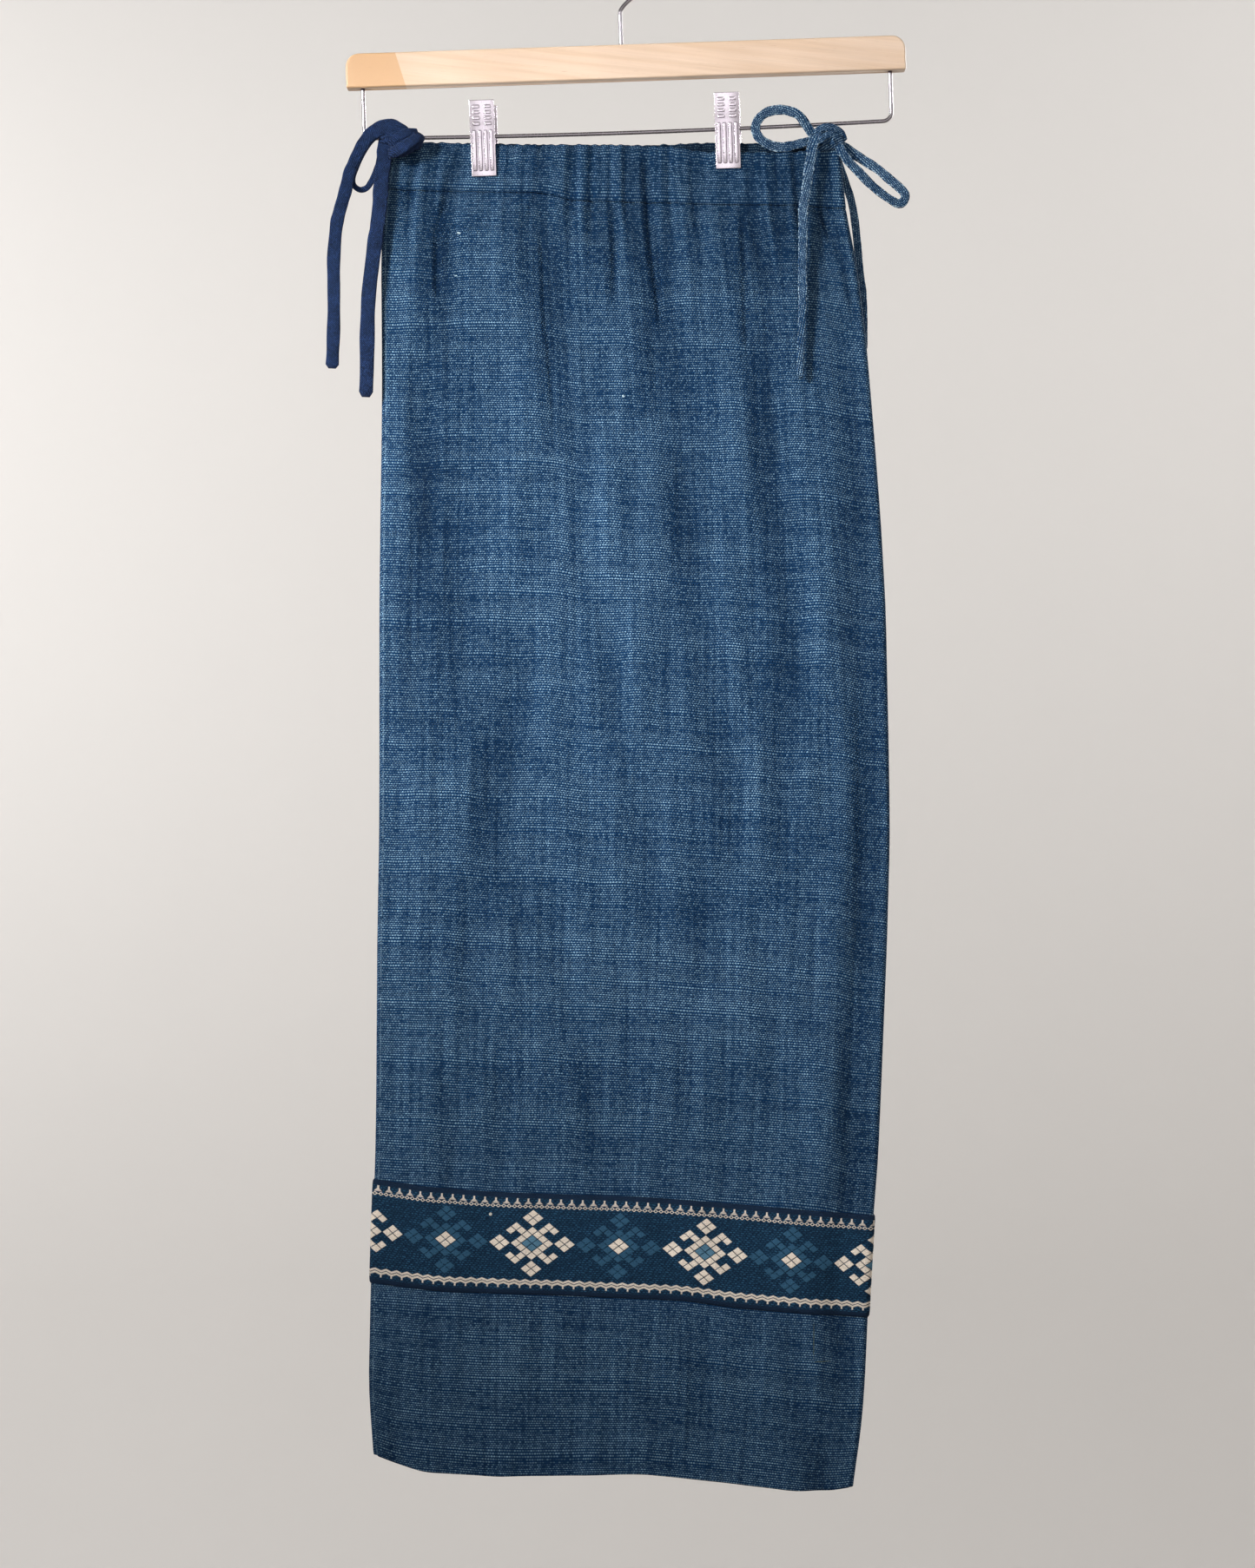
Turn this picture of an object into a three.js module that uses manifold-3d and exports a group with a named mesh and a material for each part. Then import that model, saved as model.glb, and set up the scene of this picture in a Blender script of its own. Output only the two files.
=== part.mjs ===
// Gathered tube skirt of hand-woven cloth, clipped flat to a wooden trouser-bar hanger.
// Millimetres, +Z up, the front faces -Y. The origin is the inner top of the hook, where a rail carries it.
import * as THREE from "three";
import { mergeVertices } from "three/addons/utils/BufferGeometryUtils.js";
import Module from "manifold-3d";

const wasm = await Module();
wasm.setup();

// Walls and the air between pieces
const GAP = 0.3;
const PANEL_WALL = 1.3;
const CASING_WALL = 1.8;
const TRIM_WALL = 1.0;

// The flattened tube: a round fold down each side, then the cloth opens to its full depth
const SIDE_FOLD_RADIUS = 3.5;
const SIDE_RISE = 42;
const FOLD_STEPS = 3;
const FINE_COLUMNS = 54;
const PLAIN_COLUMNS = 20;

// The skirt's side edges as it hangs
const SIDE_EDGES = [
  { z: -128, left: -150.0, right: 148.4 },
  { z: -149, left: -154.4, right: 150.2 },
  { z: -172, left: -157.3, right: 152.4 },
  { z: -207, left: -158.6, right: 159.6 },
  { z: -253, left: -158.2, right: 165.6 },
  { z: -294, left: -158.0, right: 169.2 },
  { z: -335, left: -158.4, right: 172.6 },
  { z: -381, left: -159.2, right: 176.1 },
  { z: -439, left: -159.8, right: 179.4 },
  { z: -543, left: -159.8, right: 181.6 },
  { z: -593, left: -160.0, right: 182.2 },
  { z: -665, left: -161.3, right: 180.2 },
  { z: -764, left: -161.9, right: 176.2 },
  { z: -810, left: -162.6, right: 174.2 },
  { z: -845, left: -164.0, right: 171.2 },
  { z: -903, left: -165.8, right: 167.8 },
  { z: -961, left: -167.0, right: 165.2 },
  { z: -990, left: -165.0, right: 162.8 },
  { z: -1005, left: -163.8, right: 160.6 },
  { z: -1030, left: -162.0, right: 156.8 },
];

// How far the front and the back each stand from the middle plane
const HALF_DEPTHS = [
  { z: -128, half: 5.6 },
  { z: -165, half: 6.8 },
  { z: -230, half: 8.8 },
  { z: -350, half: 9.6 },
  { z: -560, half: 9.6 },
  { z: -850, half: 9.0 },
  { z: -1030, half: 8.4 },
];

// Level lines of the cloth, from the left fold (across 0) to the right one (across 1)
const TOP_FRONT = [
  { across: 0, z: -131.6 },
  { across: 0.087, z: -128.1 },
  { across: 0.238, z: -129.9 },
  { across: 0.533, z: -130.4 },
  { across: 0.62, z: -131.6 },
  { across: 0.7, z: -134.7 },
  { across: 0.868, z: -134.9 },
  { across: 1, z: -132.9 },
];
const TOP_BACK = [
  { across: 0, z: -131.6 },
  { across: 0.087, z: -128.1 },
  { across: 0.533, z: -129.4 },
  { across: 0.7, z: -128.1 },
  { across: 0.868, z: -128.6 },
  { across: 1, z: -132.9 },
];
const CASING_SEAM = [
  { across: 0, z: -158.4 },
  { across: 0.042, z: -160.0 },
  { across: 0.336, z: -161.4 },
  { across: 0.41, z: -167.2 },
  { across: 0.614, z: -168.7 },
  { across: 0.885, z: -169.9 },
  { across: 1, z: -172.2 },
];
const HIP_LINE = [
  { across: 0, z: -261 },
  { across: 1, z: -261 },
];
const TRIM_TOP = [
  { across: 0, z: -821.2 },
  { across: 0.097, z: -825.3 },
  { across: 0.245, z: -829.1 },
  { across: 0.533, z: -832.2 },
  { across: 0.65, z: -835.1 },
  { across: 0.838, z: -840.4 },
  { across: 1, z: -845.6 },
];
const TRIM_BOTTOM = [
  { across: 0, z: -890.8 },
  { across: 0.143, z: -895.8 },
  { across: 0.37, z: -898.2 },
  { across: 0.628, z: -901.8 },
  { across: 0.741, z: -907.1 },
  { across: 1, z: -914.0 },
];
const HEM = [
  { across: 0, z: -1005.1 },
  { across: 0.042, z: -1010.9 },
  { across: 0.105, z: -1016.1 },
  { across: 0.26, z: -1019.4 },
  { across: 0.56, z: -1017.7 },
  { across: 0.725, z: -1023.1 },
  { across: 0.88, z: -1029.2 },
  { across: 0.96, z: -1029.4 },
  { across: 1, z: -1027.0 },
];

// Where rows of points lie between two level lines, as shares of the way down
const CASING_ROWS = [0, 0.3, 0.65, 1];
const HIP_ROWS = [0, 0.17, 0.4, 0.7, 1];
const UPPER_FINE_ROWS = [0, 0.06];
const UPPER_PLAIN_ROWS = [0.15, 0.27, 0.41, 0.56, 0.7, 0.85, 1];
const TRIM_ROWS = [0, 0.33, 0.67, 1];
const HEM_ROWS = [0, 0.3, 0.65, 1];

// Gathers below the waist: troughs that start in the casing and fade out further down
const GATHERS = [
  { across: 0.05, width: 4.5, depth: 1.5, length: 60 },
  { across: 0.104, width: 5.0, depth: 2.2, length: 110 },
  { across: 0.142, width: 5.5, depth: 2.4, length: 150 },
  { across: 0.205, width: 4.5, depth: 1.4, length: 60 },
  { across: 0.27, width: 4.5, depth: 1.5, length: 70 },
  { across: 0.305, width: 5.0, depth: 2.2, length: 120 },
  { across: 0.345, width: 6.0, depth: 2.6, length: 150 },
  { across: 0.4, width: 4.5, depth: 1.5, length: 60 },
  { across: 0.445, width: 4.5, depth: 1.8, length: 80 },
  { across: 0.487, width: 5.0, depth: 2.2, length: 100 },
  { across: 0.53, width: 4.5, depth: 1.6, length: 70 },
  { across: 0.572, width: 6.0, depth: 2.6, length: 150 },
  { across: 0.612, width: 4.5, depth: 1.8, length: 80 },
  { across: 0.671, width: 5.5, depth: 2.2, length: 120 },
  { across: 0.728, width: 4.5, depth: 1.8, length: 90 },
  { across: 0.765, width: 4.5, depth: 1.6, length: 70 },
  { across: 0.806, width: 5.5, depth: 2.4, length: 120 },
  { across: 0.846, width: 5.0, depth: 2.0, length: 90 },
  { across: 0.886, width: 5.0, depth: 2.2, length: 110 },
  { across: 0.936, width: 5.0, depth: 2.2, length: 90 },
  { across: 0.966, width: 4.0, depth: 1.4, length: 60 },
];

// Long soft folds that run on towards the hem, leaning as they go
const LONG_FOLDS = [
  { top: 0.117, foot: 0.073, width: 14, depth: 2.2, from: -168, to: -560 },
  { top: 0.185, foot: 0.14, width: 15, depth: 1.6, from: -250, to: -560 },
  { top: 0.28, foot: 0.2, width: 17, depth: 1.6, from: -430, to: -680 },
  { top: 0.34, foot: 0.42, width: 16, depth: 1.8, from: -170, to: -380 },
  { top: 0.57, foot: 0.6, width: 18, depth: 1.9, from: -172, to: -420 },
  { top: 0.62, foot: 0.66, width: 17, depth: 1.5, from: -330, to: -700 },
  { top: 0.78, foot: 0.8, width: 16, depth: 2.2, from: -172, to: -640 },
  { top: 0.962, foot: 0.945, width: 11, depth: 1.8, from: -230, to: -1040 },
];

// The hanger leans with its right end up, about the hook's seat
const LEAN_DEGREES = 1.94;
const WIRE_DIAMETER = 2.7;
const TUBE_SIDES = 8;
const HOOK_RADIUS = 17;
const BAR = { left: -184.5, right: 189.8, top: -62.8, height: 23, depth: 11, corner: 9 };
const WIRE_SEAT = 13;
const FRAME = { left: -173.8, right: 179.4, corner: 6, end: -119.0, middle: -121.0 };

// Clips, measured from the wire that each one pivots on
const CLIPS = [
  { name: "clip_left", x: -94.5 },
  { name: "clip_right", x: 69.0 },
];
const CLIP_WIDTH = 16.6;
const CLIP_METAL = 0.9;
const CLIP_SPRING = { radius: 4.2, length: 10 };
const BACK_PLATE_SHIFT = 1.2;
// The inner face of a plate, from its finger grip down to its jaw
const PLATE_PROFILE = [
  { z: 22.7, away: 8.6 },
  { z: 8.0, away: 6.2 },
  { z: 0.0, away: 4.5 },
  { z: -14.0, away: 3.5 },
  { z: -24.0, away: 2.4 },
  { z: -27.0, away: 2.3 },
];
const RIB = { width: 2.0, pitch: 3.8, height: 0.5, count: 4 };
// Where a clip presses the cloth flat, measured from the clip's middle
const PINCH = { half: 2.0, flat: 10, fade: 34, down: -151, fadeDown: 45 };

// Ties: flat tapes, each route chosen by hand and ending inside its knot
const RIGHT_TAPE = { width: 6.0, thick: 2.2 };
const LEFT_TAPE = { width: 8.4, thick: 2.2 };
const LEFT_LOOP_TAPE = { width: 3.8, thick: 2.6 };
const TIES = {
  bow_right_loop_a: {
    tape: RIGHT_TAPE,
    route: [
      [134.5, -6.6, -127.0], [130.6, -6.6, -124.2], [126.2, -6.4, -117.7], [121.0, -6.2, -110.7],
      [114.3, -6.0, -107.5], [107.1, -5.8, -106.7], [99.5, -5.6, -108.4], [94.3, -5.4, -112.5],
      [92.0, -5.2, -117.7], [92.9, -5.0, -122.9], [96.6, -4.8, -127.2], [102.4, -4.5, -130.3],
      [109.1, -4.2, -131.0], [115.8, -3.8, -129.3], [122.4, -3.3, -127.2], [128.5, -2.8, -126.0],
      [134.5, -2.6, -125.6],
    ],
  },
  bow_right_loop_b: {
    tape: RIGHT_TAPE,
    route: [
      [145.5, -1.6, -127.6], [151.1, -1.7, -130.4], [157.0, -1.8, -134.6], [164.5, -2.0, -139.7],
      [173.5, -2.4, -145.5], [181.6, -2.8, -152.5], [188.3, -3.3, -158.3], [191.8, -3.8, -162.6],
      [191.2, -4.4, -167.0], [187.7, -5.0, -169.3], [182.5, -5.6, -167.0], [174.9, -6.2, -161.8],
      [167.4, -6.6, -155.4], [161.6, -6.9, -149.3], [156.4, -7.1, -144.1], [151.4, -7.2, -138.0],
      [148.3, -7.2, -132.8], [146.0, -7.2, -129.0],
    ],
  },
  bow_right_tail_front: {
    tape: RIGHT_TAPE,
    route: [
      [131.6, -10.6, -124.5], [130.4, -10.6, -129.0], [129.2, -10.8, -134.5], [128.5, -11.0, -141.2],
      [126.5, -11.4, -152.5], [125.0, -11.8, -163.5], [123.3, -12.2, -174.5], [123.2, -12.6, -190.0],
      [122.8, -13.0, -211.6], [123.0, -13.4, -232.0], [122.4, -13.7, -252.0], [121.6, -13.9, -270.0],
      [121.3, -14.0, -287.6],
    ],
  },
  bow_right_tail_back: {
    tape: { width: 5.2, thick: 2.2 },
    route: [
      [141.0, 4.6, -127.0], [144.0, 5.3, -131.0], [147.1, 6.2, -136.8], [150.0, 6.7, -144.4],
      [152.9, 7.0, -153.0], [156.4, 7.3, -163.5], [158.7, 7.6, -174.5], [160.7, 8.2, -190.8],
      [162.7, 9.0, -211.6], [164.6, 10.0, -225.6], [165.4, 10.8, -238.0], [165.6, 11.3, -252.0],
      [165.4, 11.5, -266.0],
    ],
  },
  bow_left_tail_1: {
    tape: LEFT_TAPE,
    route: [
      [-138.5, -13.6, -122.6], [-142.6, -13.7, -119.2], [-148.2, -13.8, -116.4], [-153.6, -13.8, -115.9],
      [-159.2, -13.8, -118.3], [-165.0, -13.6, -123.2], [-169.0, -13.3, -129.3], [-173.0, -13.0, -137.1],
      [-176.5, -12.7, -144.4], [-179.2, -12.4, -151.3], [-181.2, -12.1, -161.2], [-183.5, -11.8, -169.3],
      [-185.8, -11.5, -177.4], [-187.6, -11.2, -186.1], [-189.3, -10.8, -206.4], [-189.3, -10.4, -224.4],
      [-189.3, -10.2, -245.9], [-189.9, -10.1, -266.7], [-190.5, -10.0, -280.1],
    ],
  },
  bow_left_loop: {
    tape: LEFT_LOOP_TAPE,
    route: [
      [-146.5, -7.1, -126.4], [-151.5, -6.2, -125.6], [-157.4, -5.6, -125.6], [-163.2, -5.4, -129.3],
      [-168.4, -5.4, -136.8], [-173.1, -5.4, -144.9], [-176.8, -5.4, -152.5], [-176.4, -5.4, -156.8],
      [-172.5, -5.4, -160.0], [-167.9, -5.4, -158.9], [-164.9, -5.4, -154.8], [-162.6, -5.4, -149.9],
      [-159.7, -5.4, -143.2], [-156.0, -5.6, -137.6], [-151.5, -6.2, -134.4], [-147.0, -7.1, -133.4],
    ],
  },
  bow_left_tail_2: {
    tape: LEFT_TAPE,
    route: [
      [-147.4, -10.2, -128.2], [-152.2, -10.2, -126.2], [-155.6, -10.0, -129.2], [-156.9, -10.0, -135.0],
      [-157.4, -9.9, -141.5], [-158.6, -9.8, -149.9], [-159.2, -9.7, -161.2], [-159.8, -9.7, -172.2],
      [-161.0, -9.7, -183.2], [-162.1, -9.7, -192.5], [-164.2, -9.8, -210.5], [-166.1, -9.9, -231.4],
      [-167.0, -10.0, -255.0], [-167.3, -10.0, -280.7], [-168.0, -10.0, -299.2],
    ],
  },
};

// Knots: rounded lumps joined, then cut back from the tapes that run into them
const KNOTS = {
  bow_right_knot: [
    { x: 135.6, y: -3.6, z: -125.6, rx: 6.2, ry: 9.4, rz: 5.6 },
    { x: 143.6, y: -2.4, z: -126.9, rx: 7.6, ry: 8.6, rz: 5.9 },
  ],
  bow_left_knot: [
    { x: -143.4, y: -10.15, z: -131.0, rx: 9.6, ry: 6.2, rz: 7.6 },
    { x: -136.0, y: -11.4, z: -127.0, rx: 7.2, ry: 5.2, rz: 7.4 },
  ],
};
const KNOT_SEGMENTS = { around: 12, down: 7 };

const MATERIALS = {
  cloth: { color: 0x2b4566, roughness: 0.92, metalness: 0 },
  trim: { color: 0x6d7a86, roughness: 0.85, metalness: 0 },
  tie_dark: { color: 0x1b2747, roughness: 0.88, metalness: 0 },
  wood: { color: 0xd9bd92, roughness: 0.55, metalness: 0 },
  chrome: { color: 0xd8dadd, roughness: 0.15, metalness: 1 },
};

const part = new THREE.Group();
const hanger = new THREE.Group();
hanger.rotation.y = -THREE.MathUtils.degToRad(LEAN_DEGREES);
part.add(hanger);

// Reads a column of a table at a place between its rows.
function read(table, key, at, column) {
  const rising = table[table.length - 1][key] > table[0][key];
  const after = table.findIndex((row) => (rising ? row[key] >= at : row[key] <= at));
  if (after === 0) return table[0][column];
  if (after < 0) return table[table.length - 1][column];
  const [a, b] = [table[after - 1], table[after]];
  return THREE.MathUtils.mapLinear(at, a[key], b[key], a[column], b[column]);
}

const smooth = (share) => THREE.MathUtils.smoothstep(share, 0, 1);
const bell = (distance, width) => Math.exp(-((distance / width) ** 2));

// The height of the frame's sagging lower wire, in the hanger's own frame.
function wireHeight(x) {
  const share = THREE.MathUtils.inverseLerp(FRAME.left + FRAME.corner, FRAME.right - FRAME.corner, x);
  return FRAME.end + 4 * share * (1 - share) * (FRAME.middle - FRAME.end);
}

// The place of a clip's middle in the part's own frame.
function clipMiddle(clip) {
  return new THREE.Vector3(clip.x, 0, wireHeight(clip.x)).applyEuler(hanger.rotation);
}

// 1 where a clip presses the cloth, falling to 0 away from it.
function pinchAt(x, z) {
  let most = 0;
  for (const clip of CLIPS) {
    const beside = Math.abs(x - clipMiddle(clip).x);
    const sideways = 1 - smooth((beside - PINCH.flat) / PINCH.fade);
    const downwards = 1 - smooth((PINCH.down - z) / PINCH.fadeDown);
    most = Math.max(most, sideways * downwards);
  }
  return most;
}

// How deep the gathers and long folds press the cloth in at a place.
function foldDepth(across, z, width) {
  const seam = read(CASING_SEAM, "across", across, "z");
  const below = Math.max(0, seam - z);
  const casingShare = z > seam ? 0.55 : 1;
  let depth = 0;
  for (const gather of GATHERS) {
    const spread = gather.width * (1 + below / 90);
    const fade = 1 - smooth(below / gather.length);
    depth += casingShare * gather.depth * fade * bell((across - gather.across) * width, spread);
  }
  for (const fold of LONG_FOLDS) {
    const share = THREE.MathUtils.inverseLerp(fold.from, fold.to, z);
    if (share <= 0 || share >= 1) continue;
    const middle = THREE.MathUtils.lerp(fold.top, fold.foot, share);
    const swell = Math.sin(Math.PI * share) ** 0.6;
    depth += fold.depth * swell * bell((across - middle) * width, fold.width);
  }
  return depth;
}

// One row of points round the front (side -1) or the back (side 1), moved out by lift.
// across runs left to right; lineAt gives the height of the row at each share across.
function rowOf(side, lineAt, columns, lift) {
  const left = read(SIDE_EDGES, "z", lineAt(0), "left");
  const right = read(SIDE_EDGES, "z", lineAt(1), "right");
  const radius = SIDE_FOLD_RADIUS + lift;
  const points = [];
  const edge = (at, turn, fromLeft) => {
    const middle = fromLeft ? left + SIDE_FOLD_RADIUS : right - SIDE_FOLD_RADIUS;
    const x = middle + (fromLeft ? -1 : 1) * radius * Math.cos(turn);
    points.push({ key: at, x, y: side * (GAP / 2 + radius * Math.sin(turn)), z: lineAt(fromLeft ? 0 : 1) });
  };
  for (let i = 0; i < FOLD_STEPS; i++) edge(i / FOLD_STEPS - 1, (Math.PI / 2) * (i / FOLD_STEPS), true);
  for (let i = 0; i <= columns; i++) {
    const share = i / columns;
    const x = THREE.MathUtils.lerp(left + SIDE_FOLD_RADIUS, right - SIDE_FOLD_RADIUS, share);
    const across = (x - left) / (right - left);
    const z = lineAt(across);
    const inside = smooth(Math.min(x - left, right - x) / SIDE_RISE);
    const seat = GAP / 2 + SIDE_FOLD_RADIUS;
    const folds = foldDepth(side < 0 ? across : 1 - across, z, right - left);
    const open = seat + (read(HALF_DEPTHS, "z", z, "half") - seat) * inside - folds * Math.min(1, inside * 2);
    const half = THREE.MathUtils.lerp(open, PINCH.half, pinchAt(x, z));
    points.push({ key: share, x, y: side * (half + lift), z });
  }
  for (let i = FOLD_STEPS - 1; i >= 0; i--) edge(2 - i / FOLD_STEPS, (Math.PI / 2) * (i / FOLD_STEPS), false);
  return points;
}

// A row between two level lines, a share of the way down.
function between(upper, lower, share) {
  return (across) =>
    THREE.MathUtils.lerp(read(upper, "across", across, "z"), read(lower, "across", across, "z"), share);
}

// Turns a closed surface the right way out, by its signed volume.
function facingOut(geometry) {
  const position = geometry.getAttribute("position");
  const index = geometry.index.array;
  const [a, b, c] = [new THREE.Vector3(), new THREE.Vector3(), new THREE.Vector3()];
  let volume = 0;
  for (let i = 0; i < index.length; i += 3) {
    a.fromBufferAttribute(position, index[i]);
    b.fromBufferAttribute(position, index[i + 1]);
    c.fromBufferAttribute(position, index[i + 2]);
    volume += a.dot(b.cross(c));
  }
  if (volume < 0) {
    for (let i = 0; i < index.length; i += 3) [index[i], index[i + 1]] = [index[i + 1], index[i]];
  }
  return geometry;
}

// A closed wall of cloth from pairs of rows, outer and inner, running down the cloth.
function wallOf(pairs) {
  const positions = [];
  const triangles = [];
  const keep = (row) => row.map((p) => ({ key: p.key, index: positions.push([p.x, p.y, p.z]) - 1 }));
  const kept = pairs.map(([outer, inner]) => [keep(outer), keep(inner)]);
  const face = (a, b, c, turned) => triangles.push(...(turned ? [a, c, b] : [a, b, c]));

  // Joins two rows whose counts may differ, always stepping to the nearer next point.
  const join = (upper, lower, turned) => {
    let [i, j] = [0, 0];
    while (i < upper.length - 1 || j < lower.length - 1) {
      const stepUpper =
        j === lower.length - 1 || (i < upper.length - 1 && upper[i + 1].key <= lower[j + 1].key);
      if (stepUpper) face(upper[i].index, upper[++i].index, lower[j].index, turned);
      else face(upper[i].index, lower[j + 1].index, lower[j++].index, turned);
    }
  };
  for (let r = 0; r + 1 < kept.length; r++) {
    join(kept[r][0], kept[r + 1][0], false);
    join(kept[r][1], kept[r + 1][1], true);
    for (const [end, turned] of [[0, true], [-1, false]]) {
      const [outerA, innerA, outerB, innerB] = [...kept[r], ...kept[r + 1]].map((row) => row.at(end).index);
      face(outerA, innerA, outerB, turned);
      face(innerA, innerB, outerB, turned);
    }
  }
  join(kept[0][1], kept[0][0], false);
  join(kept.at(-1)[0], kept.at(-1)[1], false);

  const geometry = new THREE.BufferGeometry();
  geometry.setAttribute("position", new THREE.Float32BufferAttribute(positions.flat(), 3));
  geometry.setIndex(new THREE.Uint32BufferAttribute(triangles, 1));
  return facingOut(geometry);
}

// One panel of the tube between level lines; bands is a list of { upper, lower, shares, columns }.
function panel(side, bands, innerLift, outerLift) {
  const pairs = bands.flatMap(({ upper, lower, shares, columns }) =>
    shares.map((share) => {
      const line = between(upper, lower, share);
      return [rowOf(side, line, columns, outerLift), rowOf(side, line, columns, innerLift)];
    }),
  );
  return wallOf(pairs);
}

const movedBy = (line, dz) => line.map((row) => ({ across: row.across, z: row.z + dz }));

function add(group, name, geometry, material) {
  geometry.deleteAttribute("normal");
  geometry.deleteAttribute("uv");
  const settings = { ...MATERIALS[material], flatShading: true };
  const mesh = new THREE.Mesh(geometry, new THREE.MeshStandardMaterial(settings));
  mesh.name = name;
  group.add(mesh);
}

// Skirt panels, waist casing and woven trim, front and back
for (const [side, label, top] of [[-1, "front", TOP_FRONT], [1, "back", TOP_BACK]]) {
  const casing = [
    { upper: top, lower: movedBy(CASING_SEAM, GAP / 2), shares: CASING_ROWS, columns: FINE_COLUMNS },
  ];
  const underSeam = movedBy(CASING_SEAM, -GAP / 2);
  const hip = [
    { upper: underSeam, lower: movedBy(HIP_LINE, GAP / 2), shares: HIP_ROWS, columns: FINE_COLUMNS },
  ];
  const underHip = movedBy(HIP_LINE, -GAP / 2);
  const cloth = [
    { upper: underHip, lower: TRIM_TOP, shares: UPPER_FINE_ROWS, columns: FINE_COLUMNS },
    { upper: underHip, lower: TRIM_TOP, shares: UPPER_PLAIN_ROWS, columns: PLAIN_COLUMNS },
    { upper: TRIM_TOP, lower: TRIM_BOTTOM, shares: TRIM_ROWS.slice(1), columns: PLAIN_COLUMNS },
    { upper: TRIM_BOTTOM, lower: HEM, shares: HEM_ROWS.slice(1), columns: PLAIN_COLUMNS },
  ];
  const trim = [{ upper: TRIM_TOP, lower: TRIM_BOTTOM, shares: TRIM_ROWS, columns: PLAIN_COLUMNS }];
  add(part, `waistband_${label}`, panel(side, casing, -CASING_WALL, 0), "cloth");
  add(part, `skirt_hip_${label}`, panel(side, hip, -PANEL_WALL, 0), "cloth");
  add(part, `skirt_${label}`, panel(side, cloth, -PANEL_WALL, 0), "cloth");
  add(part, `trim_${label}`, panel(side, trim, GAP, GAP + TRIM_WALL), "trim");
}

// A merged, indexed copy of a geometry that faces outwards.
function merged(geometry) {
  geometry.deleteAttribute("normal");
  geometry.deleteAttribute("uv");
  return facingOut(mergeVertices(geometry, 1e-4));
}

function toSolid(geometry) {
  const clean = merged(geometry);
  const vertProperties = clean.getAttribute("position").array;
  const triVerts = new Uint32Array(clean.index.array);
  return new wasm.Manifold(new wasm.Mesh({ numProp: 3, vertProperties, triVerts }));
}

function fromSolid(solid) {
  const mesh = solid.getMesh();
  const geometry = new THREE.BufferGeometry();
  geometry.setAttribute("position", new THREE.Float32BufferAttribute(mesh.vertProperties, 3));
  geometry.setIndex(new THREE.Uint32BufferAttribute(mesh.triVerts, 1));
  return geometry;
}

// A curve whose rings fall on its own points, however unevenly those are spaced.
class PointCurve extends THREE.CatmullRomCurve3 {
  getPointAt(share) {
    return this.getPoint(share);
  }
  getTangentAt(share) {
    return this.getTangent(share);
  }
}

// A tube with an oval section along a curve; its width lies in the plane of the skirt.
function tubeAlong(curve, width, thick) {
  const section = new THREE.Shape();
  for (let i = 0; i < TUBE_SIDES; i++) {
    const turn = ((i + 0.5) / TUBE_SIDES) * Math.PI * 2;
    const at = [(thick / 2) * Math.cos(turn), (width / 2) * Math.sin(turn)];
    if (i === 0) section.moveTo(...at);
    else section.lineTo(...at);
  }
  section.closePath();
  const settings = { steps: curve.points.length - 1, bevelEnabled: false, extrudePath: curve };
  return merged(new THREE.ExtrudeGeometry(section, settings));
}

// A tape, or with grow a slightly larger one that also runs on past both ends.
function tapeGeometry({ tape, route }, grow) {
  const points = route.map((p) => new THREE.Vector3(...p));
  const runOn = (end, before) => end.clone().add(end.clone().sub(before).setLength(grow));
  if (grow > 0) points.push(runOn(points.at(-1), points.at(-2)));
  if (grow > 0) points.unshift(runOn(points[0], points[1]));
  return tubeAlong(new PointCurve(points), tape.width + 2 * grow, tape.thick + 2 * grow);
}

// Ties and knots
for (const [name, tie] of Object.entries(TIES)) {
  add(part, name, tapeGeometry(tie, 0), name.startsWith("bow_left") ? "tie_dark" : "cloth");
}
for (const [name, lumps] of Object.entries(KNOTS)) {
  const bow = name.replace("_knot", "");
  let knot = null;
  for (const lump of lumps) {
    const ball = new THREE.SphereGeometry(1, KNOT_SEGMENTS.around, KNOT_SEGMENTS.down);
    ball.rotateX(Math.PI / 2).scale(lump.rx, lump.ry, lump.rz).translate(lump.x, lump.y, lump.z);
    knot = knot ? knot.add(toSolid(ball)) : toSolid(ball);
  }
  for (const [tieName, tie] of Object.entries(TIES)) {
    if (tieName.startsWith(bow)) knot = knot.subtract(toSolid(tapeGeometry(tie, GAP)));
  }
  add(part, name, fromSolid(knot), bow === "bow_left" ? "tie_dark" : "cloth");
}

// Hook: a straight stem, a swing to one side, then round over the rail
function hookGeometry() {
  const middle = WIRE_DIAMETER / 2 - HOOK_RADIUS;
  const at = (x, z) => new THREE.Vector3(x, 0, z);
  const points = [at(0, BAR.top - WIRE_SEAT + GAP), at(0, BAR.top + 12)];
  points.push(at(0, middle - 25), at(0.9, middle - 22.5), at(3.4, middle - 19.4), at(7.4, middle - 15.9));
  const [start, finish, stops] = [-48, 208, 16];
  for (let i = 0; i <= stops; i++) {
    const turn = THREE.MathUtils.degToRad(THREE.MathUtils.lerp(start, finish, i / stops));
    points.push(at(HOOK_RADIUS * Math.cos(turn), middle + HOOK_RADIUS * Math.sin(turn)));
  }
  return tubeAlong(new PointCurve(points), WIRE_DIAMETER, WIRE_DIAMETER);
}

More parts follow.
